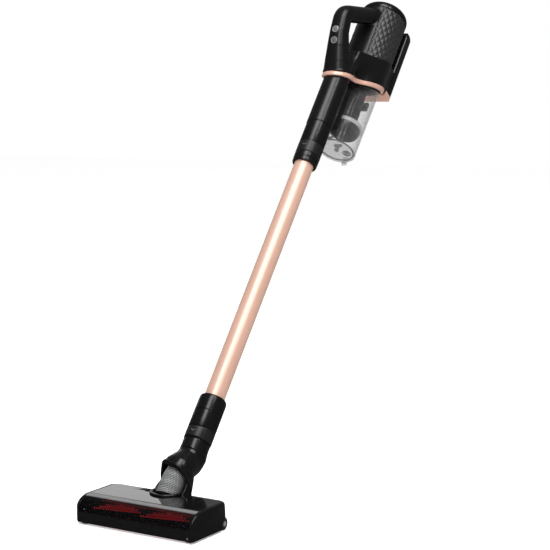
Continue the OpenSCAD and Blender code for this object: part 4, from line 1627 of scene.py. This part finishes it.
@dataclass
class Hose:
    """The ribbed hose between the head and the elbow."""

    maker: Maker
    radius: float = 21.3
    pitch: float = 2.6
    start: Point = (100.0, 43.0)
    first: float = 34.0
    last: float = 72.0
    length: float = 76.0

    def path(self) -> list[Point]:
        """Return the hose's centre line."""
        y, z = self.start
        out, steps = [(y, z)], 24
        for i in range(steps):
            a = math.radians(self.first + (self.last - self.first) * (i + 0.5) / steps)
            y, z = y + self.length / steps * math.sin(a), z + self.length / steps * math.cos(a)
            out.append((y, z))
        return out

    def build(self) -> None:
        """Sweep the ribs along the path with Geometry Nodes."""
        sizes = {"Radius": self.radius * MM, "Rib Pitch": self.pitch * MM, "Rib Height": 0.55 * MM}
        tree = GeometryTree("ribbed_hose", sizes, Look.HOSE.material())
        curve = tree.node("GeometryNodeMeshToCurve", None, [tree.given("Geometry")])
        gap = tree.given("Rib Pitch") / 6.0
        fine = tree.node("GeometryNodeResampleCurve", {"mode": "LENGTH"}, {"Curve": curve, "Length": gap})
        run = tree.node("GeometryNodeSplineParameter", out="Length")
        radius = tree.given("Radius") + (
            run / tree.given("Rib Pitch") * (2 * math.pi)
        ).sin() * tree.given("Rib Height")
        marked = tree.node(
            "GeometryNodeStoreNamedAttribute", None, {"Geometry": fine, "Name": "run", "Value": run}
        )
        sized = tree.node("GeometryNodeSetCurveRadius", None, {"Curve": marked, "Radius": radius})
        ring = tree.node("GeometryNodeCurvePrimitiveCircle", None, {"Resolution": 96, "Radius": 1.0})
        turn = tree.node("GeometryNodeSplineParameter", out="Factor")
        ring = tree.node(
            "GeometryNodeStoreNamedAttribute", None, {"Geometry": ring, "Name": "turn", "Value": turn}
        )
        skin = tree.raw(
            "GeometryNodeCurveToMesh", None, {"Curve": sized, "Profile Curve": ring, "Fill Caps": True}
        )
        if "Scale" in skin.inputs:
            tree.nodes.links.new(radius.socket, skin.inputs["Scale"])
        smooth = tree.node("GeometryNodeSetShadeSmooth", None, {"Geometry": Value(tree, skin.outputs[0])})
        points = [(0.0, y * MM, z * MM) for y, z in self.path()]
        mesh = bpy.data.meshes.new("start")
        mesh.from_pydata(points, [(i, i + 1) for i in range(len(points) - 1)], [])
        start = bpy.data.objects.new("start", mesh)
        bpy.context.scene.collection.objects.link(start)
        piece = tree.run(smooth, start, "ribbed_hose")
        self.at(0.18)
        self.at(0.95)
        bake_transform(piece)
        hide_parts("hose")
        self.maker.made.append(piece)
        LOG.info("ribbed_hose bends between floor_head and neck_elbow")

    def at(self, share: float) -> tuple[float, float, float]:
        """Return a point of the centre line in metres."""
        line = self.path()
        y, z = line[round(share * (len(line) - 1))]
        return 0.0, y * MM, z * MM


# ---------------------------------------------------------------- floor head


@dataclass
class FloorHead:
    """The powered head: cover, window, caps, brush and wheels."""

    maker: Maker
    width: float = 240.0
    depth: float = 112.0
    height: float = 49.0
    front: float = 30.0
    window: float = 34.0
    sole: float = 3.0
    cap: float = 6.0
    corner: float = 8.0
    plan_r: float = 18.0
    seam: float = 23.0
    crest: Point = (18.0, 28.5)
    brush: Point = (27.0, 22.0)
    brush_r: float = 18.5
    notch: Point = (38.5, 86.0)
    wheel_y: float = 100.0

    def pull(self, x: float) -> float:
        """Return how far the rear is drawn in at a place across the head."""
        over = abs(x) - (self.width / 2 - self.plan_r)
        return 0.0 if over <= 0 else self.plan_r - math.sqrt(max(self.plan_r**2 - over * over, 0.0))

    def drawn(self, x: float, y: float) -> float:
        """Return where a point of the square outline goes in the rounded one."""
        share = min(max((y - 68) / (self.depth - 72), 0.0), 1.0)
        return y - self.pull(x) * share * share * (3 - 2 * share)

    def arc(
        self, inset: float = 0.0, low: float = 180.0, high: float = 90.0, steps: int = 26
    ) -> list[Point]:
        """Return a stretch of the window's curve."""
        rise = self.height - self.front
        return [
            (self.window + (self.window - inset) * math.cos(a), self.front + (rise - inset) * math.sin(a))
            for a in np.radians(np.linspace(low, high, steps))
        ]

    def rear(self, inset: float = 0.0) -> list[Point]:
        """Return the rear edge of the deck, which rounds down to the back wall."""
        r, y, z = self.corner, self.depth - self.corner - 1.5, self.height - self.corner
        line = [
            (y + (r - inset) * math.cos(a), z + (r - inset) * math.sin(a))
            for a in np.radians(np.linspace(90, 12, 12))
        ]
        return line + [(self.depth - inset, 24.5)]

    def strip(
        self,
        name: str,
        line: Sequence[Point],
        xs: Sequence[float],
        thick: float,
        look: Look,
        bevel: float = 0.5
    ):
        """Build a curved panel.

        Args:
            name: Name of the piece.
            line: Its section, from front to rear, as y and z.
            xs: Its stations across the head.
            thick: Its thickness.
            look: Its finish.
            bevel: Width of its softened edges.

        Returns:
            The piece.
        """
        points, n = [], len(line)
        for x in xs:
            points += [(x, self.drawn(x, y), z) for y, z in line]
        faces = [
            (i * n + k, (i + 1) * n + k, (i + 1) * n + k + 1, i * n + k + 1)
            for i in range(len(xs) - 1)
            for k in range(n - 1)
            if line[k][0] < self.notch[1] - 0.01 or abs(xs[i] + xs[i + 1]) / 2 > self.notch[0]
        ]
        piece = self.maker.piece(name, np.array(points), faces, look, GROUND, merge=False)
        applied(piece, "SOLIDIFY", thickness=thick * MM, offset=-1.0)
        if bevel:
            applied(
                piece,
                "BEVEL",
                width=bevel * MM,
                segments=2,
                limit_method="ANGLE",
                angle_limit=math.radians(50)
            )
        Maker.soften(piece)
        return piece

    def across(self, inset: float = 0.0) -> list[float]:
        """Return stations across the head between the end caps."""
        half = self.width / 2 - self.cap - inset
        ends = [self.notch[0], 70.0, *np.linspace(half - 12, half, 10)]
        return [-x for x in reversed(ends)] + ends

    def panels(self) -> None:
        """Build the bumper, the window, the crest strip and the deck."""
        gap = 0.18
        xs = self.across(gap)
        window = [(0.25, self.seam + gap), (0.25, self.front - 1)]
        window += [p for p in self.arc(0.25, steps=40) if p[0] <= self.crest[0] - gap]
        pane = self.strip("brush_pane", window, xs, 1.8, Look.WINDOW, 0.35)
        self.maker.keep(pane, "floor_head", "smoked_window", ("brush_window",))
        bumper = [
            (3.2, self.sole + 0.4),
            (1.2, self.sole + 1.2),
            (0.2, self.sole + 4.5),
            (0.0, self.sole + 8),
            (0.0, self.seam - gap)
        ]
        lower = self.strip("front_panel", bumper, xs, 2.3, Look.GLOSS, 0.5)
        self.maker.keep(lower, "floor_head", "black_satin", ("front_bumper",))
        top = [p for p in self.arc(-0.35, steps=120) if self.crest[0] + gap <= p[0] <= self.crest[1] - gap]
        crest = self.strip("crest_band", top, self.across(0.05), 2.2, Look.SILVER, 0.6)
        self.maker.keep(crest, "floor_head", "silver_strip", ("crest_strip",))
        deck = [p for p in self.arc(0.0, steps=80) if self.crest[1] + gap <= p[0] < 34]
        deck += [(y, self.height) for y in (38, 50, 62, 70, 78, self.notch[1], 92, 98)] + self.rear()
        deck[-1] = (self.depth, 14.2)
        cover = self.strip("deck_cover", deck, xs, 2.3, Look.DECK, 0.5)
        self.maker.keep(cover, "floor_head", "black_gloss", ("head_cover",))
        back = [(self.chamber(), 9.0), (self.chamber(), self.height - 3)]
        wall_piece = self.strip("chamber_wall", back, (-104, 0, 113.5), 2.0, Look.MATTE, 0.0)
        self.maker.keep(wall_piece, "floor_head", "black_matte")

    def chamber(self) -> float:
        """Return the place of the wall behind the brush."""
        return 50.5

    def ends(self) -> None:
        """Build the two end caps with a soft rim."""
        for side, name in ((-1, "left"), (1, "right")):
            outer = [
                (2.6, self.sole), (0.4, self.sole + 2.6), (0.0, self.sole + 7)
            ] + self.arc(0.0, steps=30)
            outer += [(y, self.height) for y in (50, 70, 84, 94)] + self.rear()
            arch = [
                (self.wheel_y + 12 * math.cos(a), 11 + 12 * math.sin(a))
                for a in np.radians(np.linspace(2, 221, 30))
            ]
            rings = (
                (114.05, 0.35),
                (114.6, 0.0),
                (116.0, 0.0),
                (117.4, 0.1),
                (118.4, 0.35),
                (119.2, 0.8),
                (119.7, 1.3),
                (120.0, 2.2)
            )
            centre = np.array([self.depth / 2, 24.0])
            points, n = [], len(outer) + len(arch)
            for x, inset in rings:
                rear = self.drawn(min(x, 119.0), self.depth)
                meets = 11 + math.sqrt(max(144 - (min(rear, self.wheel_y + 12) - self.wheel_y) ** 2, 0.0))
                for y, z in outer:
                    pulled = self.drawn(min(x, 119.0), y)
                    to = centre - (pulled, z)
                    to = to / np.linalg.norm(to) * inset
                    points.append((side * x, pulled + to[0], z + to[1]))
                for y, z in arch:
                    points.append((side * x, min(y, rear), z if y <= rear else max(z, meets)))
            last = len(rings) - 1
            faces = [
                (i * n + k, i * n + (k + 1) % n, (i + 1) * n + (k + 1) % n, (i + 1) * n + k)
                for i in range(last)
                for k in range(n)
            ]
            faces += [tuple(range(n)), tuple(range(last * n, (last + 1) * n))]
            cap = self.maker.piece(f"end_shell_{name}", np.array(points), faces, Look.GLOSS, GROUND, 32)
            self.maker.keep(cap, "floor_head", "black_gloss", (f"end_cap_{name}",))

    def trims(self) -> None:
        """Build the small parts of the front: a screw and a pale strip."""
        points, faces = lathe(rounded([(0.0, -1.0), (1.1, -1.0), (1.1, 0.4), (0.0, 0.5)], 0.2, 2), 0.0, 24)
        turned = np.column_stack((points[:, 0] - 103, -points[:, 2] + 0.55, points[:, 1] + 28))
        screw = self.maker.piece("front_screw", turned, faces, Look.STEEL)
        self.maker.keep(screw, "floor_head", "silver_strip")
        loop = rounded([(0.02, 7.5), (0.7, 7.5), (0.7, 20.5), (0.02, 20.5)], 0.2, 2)
        points, faces = prism(loop, 109.4, 111.6)
        strip = self.maker.piece("front_reflector", points, faces, Look.SILVER)
        self.maker.keep(strip, "floor_head", "silver_strip")

    def collar(self) -> None:
        """Build the disc that closes the deck round the hose."""
        loop = rounded(
            [(23.6, 49.1), (30.1, 49.1), (30.1, 51.0), (29.0, 52.4), (24.4, 52.2)],
            [0, 0.3, 1.0, 1.0, 0.5],
            4
        )
        points, faces = lathe(loop, 98.0, 96)
        piece = self.maker.piece("hose_disc", points, faces, Look.TUBE)
        self.maker.keep(piece, "floor_head", "black_gloss", ("hose_collar",))

    def roller(self) -> None:
        """Build the brush: a core and crescents of tufts set with Geometry Nodes."""
        y, z = self.brush
        loop = rounded(
            [(0.0, -104), (11.0, -104), (12.0, -103), (12.0, 103), (11.0, 104), (0.0, 104)], 0.4, 2
        )
        loop = [
            (0.0, -116.5), (3.9, -116.5), (3.9, -111), (7.5, -111), (7.5, -106), (3.9, -106), (3.9, -104)
        ] + loop[3:-1]
        loop += [(3.9, 104), (3.9, 116.5), (0.0, 116.5)]
        points, faces = lathe(loop, 0.0, 64)
        turned = np.column_stack((points[:, 2], points[:, 0] + y, points[:, 1] + z))
        core = self.maker.piece("brush_barrel", turned, faces, Look.MATTE)
        self.maker.keep(core, "brush", "black_matte", ("brush_core",))
        tree = GeometryTree(
            "bristle_tufts",
            {"Tuft Radius": 1.25 * MM, "Tuft Length": (self.brush_r - 11.6) * MM},
            Look.BRISTLE.material()
        )
        cone = tree.raw(
            "GeometryNodeMeshCone",
            None,
            {
                "Vertices": 7,
                "Radius Top": tree.given("Tuft Radius"),
                "Radius Bottom": tree.given("Tuft Radius") * 0.62,
                "Depth": tree.given("Tuft Length")
            },
        )
        turn = tree.node("GeometryNodeInputNamedAttribute", {"data_type": "FLOAT_VECTOR"}, {"Name": "turn"})
        rotation = tree.node("FunctionNodeEulerToRotation", None, [turn])
        inputs = {
            "Points": tree.given("Geometry"), "Instance": Value(tree, cone.outputs[0]), "Rotation": rotation
        }
        placed = tree.node("GeometryNodeInstanceOnPoints", None, inputs)
        spots, turns = [], []
        for quarter in range(4):
            for x, angle in self.tufts():
                a = math.radians(angle + 90 * quarter)
                spots.append((x, y + 11.8 * math.cos(a), z + 11.8 * math.sin(a)))
                turns.append((a - math.pi / 2, 0.0, 0.0))
        start = point_cloud(GROUND.place(np.array(spots)), {"turn": np.array(turns)})
        tufts = tree.run(placed, start, "bristle_tufts")
        self.maker.keep(tufts, "brush", "bristle_red", ("brush_bristles",))

    def tufts(self) -> list[Point]:
        """Return place across and angle of the tufts of one quarter turn."""
        out = []
        for centre, reach in ((-42.0, 47.0), (57.0, 47.0)):
            x = -reach
            while x <= reach:
                bow = 1 - (x / reach) ** 2
                base = 145.0 - 9.0 * x / reach
                for row in range(4):
                    if 12.5 * row <= 38.0 * bow:
                        out.append((centre + x + 1.2 * row, base - 12.5 * row))
                x += 4.9
        return out

    def wheels(self) -> None:
        """Build the rear wheels and the front rollers with tyres and hubs."""
        for side in (-1, 1):
            tag = "right" if side > 0 else "left"
            loop = rounded(
                [(2.0, -6), (6.8, -6), (7.6, -5), (11, -5), (11, 5), (7.6, 5), (6.8, 6), (2.0, 6)],
                [0, 0.5, 0.4, 1.6, 1.6, 0.4, 0.5, 0],
                4
            )
            points, faces = lathe(loop, 0.0, 56)
            turned = np.column_stack(
                (points[:, 2] + side * 112, points[:, 0] + self.wheel_y, points[:, 1] + 11)
            )
            tyre = self.maker.piece(f"rear_tyre_{tag}", turned, faces, Look.RUBBER)
            self.maker.keep(tyre, "wheels", "rubber_black", ("rear_wheels",))
            hub = rounded([(0.0, -6.3), (4.6, -6.3), (4.6, 6.3), (0.0, 6.3)], [0, 0.8, 0.8, 0], 3)
            points, faces = lathe(hub, 0.0, 40)
            turned = np.column_stack(
                (points[:, 2] + side * 112, points[:, 0] + self.wheel_y, points[:, 1] + 11)
            )
            self.maker.keep(
                self.maker.piece(f"rear_hub_{tag}", turned, faces, Look.STRIP), "wheels", "grey_mid"
            )
            loop = rounded([(0.0, -5), (5, -5), (5, 5), (0.0, 5)], [0, 1.2, 1.2, 0], 4)
            points, faces = lathe(loop, 0.0, 40)
            turned = np.column_stack((points[:, 2] + side * 107.5, points[:, 0] + 9, points[:, 1] + 5))
            roller = self.maker.piece(f"front_roller_{tag}", turned, faces, Look.RUBBER)
            self.maker.keep(roller, "rollers", "rubber_black", ("front_rollers",))

    def build(self) -> None:
        """Build the floor head."""
        self.panels()
        self.ends()
        self.trims()
        self.collar()
        self.roller()
        self.wheels()


# ---------------------------------------------------------------- dress and stage


KEPT: dict[str, Look] = {
    "housing_floor": Look.MATTE,
    "fan_motor": Look.MOTOR,
    "fan_impeller": Look.STEEL,
    "button_board": Look.BOARD,
    "control_board": Look.BOARD,
    "fine_filter": Look.FILTER,
    "battery_cells": Look.WRAP,
    "battery_latch": Look.STRIP,
    "box_release": Look.KEY,
    "flap_pin": Look.STEEL,
    "flap_seal": Look.RUBBER,
    "flap_catch": Look.FLAP,
    "swivel_ring": Look.LIGHT,
    "pivot_pins": Look.STEEL,
    "hose_socket": Look.MATTE,
    "head_base": Look.MATTE,
    "brush_motor": Look.MOTOR,
    "motor_pinion": Look.STEEL,
    "drive_belt": Look.RUBBER,
}


def dress_frame(frame: dict[str, Any]) -> None:
    """Give every node of the frame that stays in view its finish."""
    for node, look in KEPT.items():
        mesh = frame["nodes"][node].data
        for i in range(max(len(mesh.materials), 1)):
            if i < len(mesh.materials):
                mesh.materials[i] = look.material()
            else:
                mesh.materials.append(look.material())


@dataclass
class Studio:
    """A white floor, soft boxes and the camera."""

    camera: tuple[float, float, float] = (1.4521, -1.9206, 0.7107)
    turn: float = 31.44
    pitch: float = 6.56
    lens: float = 96.64

    def view(self) -> None:
        """Place the camera."""
        data = bpy.data.cameras.new("camera")
        data.lens, data.sensor_width = self.lens, 36.0
        data.clip_end = 60.0
        camera = bpy.data.objects.new("camera", data)
        camera.location = self.camera
        camera.rotation_euler = (math.radians(90 - self.pitch), 0.0, math.radians(self.turn))
        bpy.context.scene.collection.objects.link(camera)
        bpy.context.scene.camera = camera

    def floor(self) -> None:
        """Lay the white floor."""
        mesh = bpy.data.meshes.new("floor")
        side, low = 14.0, -0.0004
        mesh.from_pydata(
            [(-side, -side, low), (side, -side, low), (side, side, low), (-side, side, low)],
            [],
            [(0, 1, 2, 3)]
        )
        floor = bpy.data.objects.new("floor", mesh)
        tree = ShaderTree("studio_floor")
        paper = tree.noise(3.0, 2.0)
        shade = tree.blend(paper, (0.93, 0.93, 0.93), (0.95, 0.95, 0.95))
        paper = tree.surface(
            Base_Color=shade,
            Roughness=0.9,
            Specular_IOR_Level=0.0,
            Emission_Color=(1, 1, 1, 1),
            Emission_Strength=0.26,
        )
        mesh.materials.append(tree.finish(paper))
        bpy.context.scene.collection.objects.link(floor)
        floor.visible_glossy = False

    def lamp(
        self,
        name: str,
        place: tuple[float, float, float],
        aim: tuple[float, float, float],
        size: Point,
        power: float,
        mirrored: bool = True,
        along: tuple[float, float, float] = (0.0, 0.0, 1.0),
    ) -> None:
        """Hang one soft box.

        Args:
            name: Its name.
            place: Where it is.
            aim: What it points at.
            size: Its width and height.
            power: Its power in watts.
            mirrored: Whether it shows in reflections.
            along: Direction that its height follows.
        """
        data = bpy.data.lights.new(name, "AREA")
        data.shape, data.size, data.size_y, data.energy = "RECTANGLE", size[0], size[1], power
        lamp = bpy.data.objects.new(name, data)
        lamp.location = place
        lamp.visible_glossy, lamp.visible_camera = mirrored, False
        back = (Vector(place) - Vector(aim)).normalized()
        side = Vector(along).cross(back).normalized()
        lamp.rotation_euler = Matrix((side, back.cross(side), back)).transposed().to_euler()
        bpy.context.scene.collection.objects.link(lamp)

    def surround(self) -> None:
        """Light the white surround, brighter behind the object than in front of it."""
        world = bpy.data.worlds.new("surround")
        world.use_nodes = True
        bpy.context.scene.world = world
        tree = Tree(world.node_tree)
        tree.nodes.nodes.clear()
        way = tree.raw("ShaderNodeSeparateXYZ", None, [tree.node("ShaderNodeTexCoord", out="Generated")])
        a = math.radians(self.turn)
        x, y = Value(tree, way.outputs[0]), Value(tree, way.outputs[1])
        ahead = y * math.cos(a) - x * math.sin(a)
        glow = 0.05 + ahead.step(0.2, 1.0) * 0.10
        seen = tree.node("ShaderNodeLightPath", out="Is Camera Ray")
        scattered = tree.node("ShaderNodeLightPath", out="Is Diffuse Ray")
        strength = seen * 1.0 + (1.0 - seen) * (scattered * 0.85 + (1.0 - scattered) * glow)
        back = tree.node(
            "ShaderNodeBackground", None, {"Color": (1.0, 1.0, 1.0, 1.0), "Strength": strength}
        )
        output = tree.nodes.nodes.new("ShaderNodeOutputWorld")
        tree.nodes.links.new(back.socket, output.inputs["Surface"])

    def build(self) -> None:
        """Set up the whole studio."""
        self.view()
        self.floor()
        self.surround()
        middle = (0.0, 0.4, 0.45)
        stick = (0.0, 0.6157, 0.788)
        self.lamp("key_box", (0.51, -0.48, 2.43), middle, (0.95, 3.0), 62.0, along=stick)
        self.lamp("line_box", (1.09, 0.28, 2.06), (0.0, 0.75, 0.70), (0.05, 1.6), 11.0, along=stick)
        self.lamp("top_box", (0.2, 0.2, 3.4), (0.1, 0.35, 0.0), (3.2, 3.2), 20.0, mirrored=False)
        self.lamp("deck_card", (-0.56, 0.60, 0.225), (0.0, 0.06, 0.05), (0.36, 0.22), 0.20)
        bpy.context.scene.view_settings.view_transform = "Standard"


def main() -> None:
    """Build the vacuum round its frame."""
    logging.basicConfig(level=logging.INFO, format="%(message)s")
    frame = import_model()
    maker = Maker()
    Studio().build()
    dress_frame(frame)
    for assembly in (HandUnit, Battery, DustBox, Wand, Neck, Hose, FloorHead):
        assembly(maker).build()
    LOG.info("%d pieces", len(maker.made))


if __name__ == "__main__":
    main()
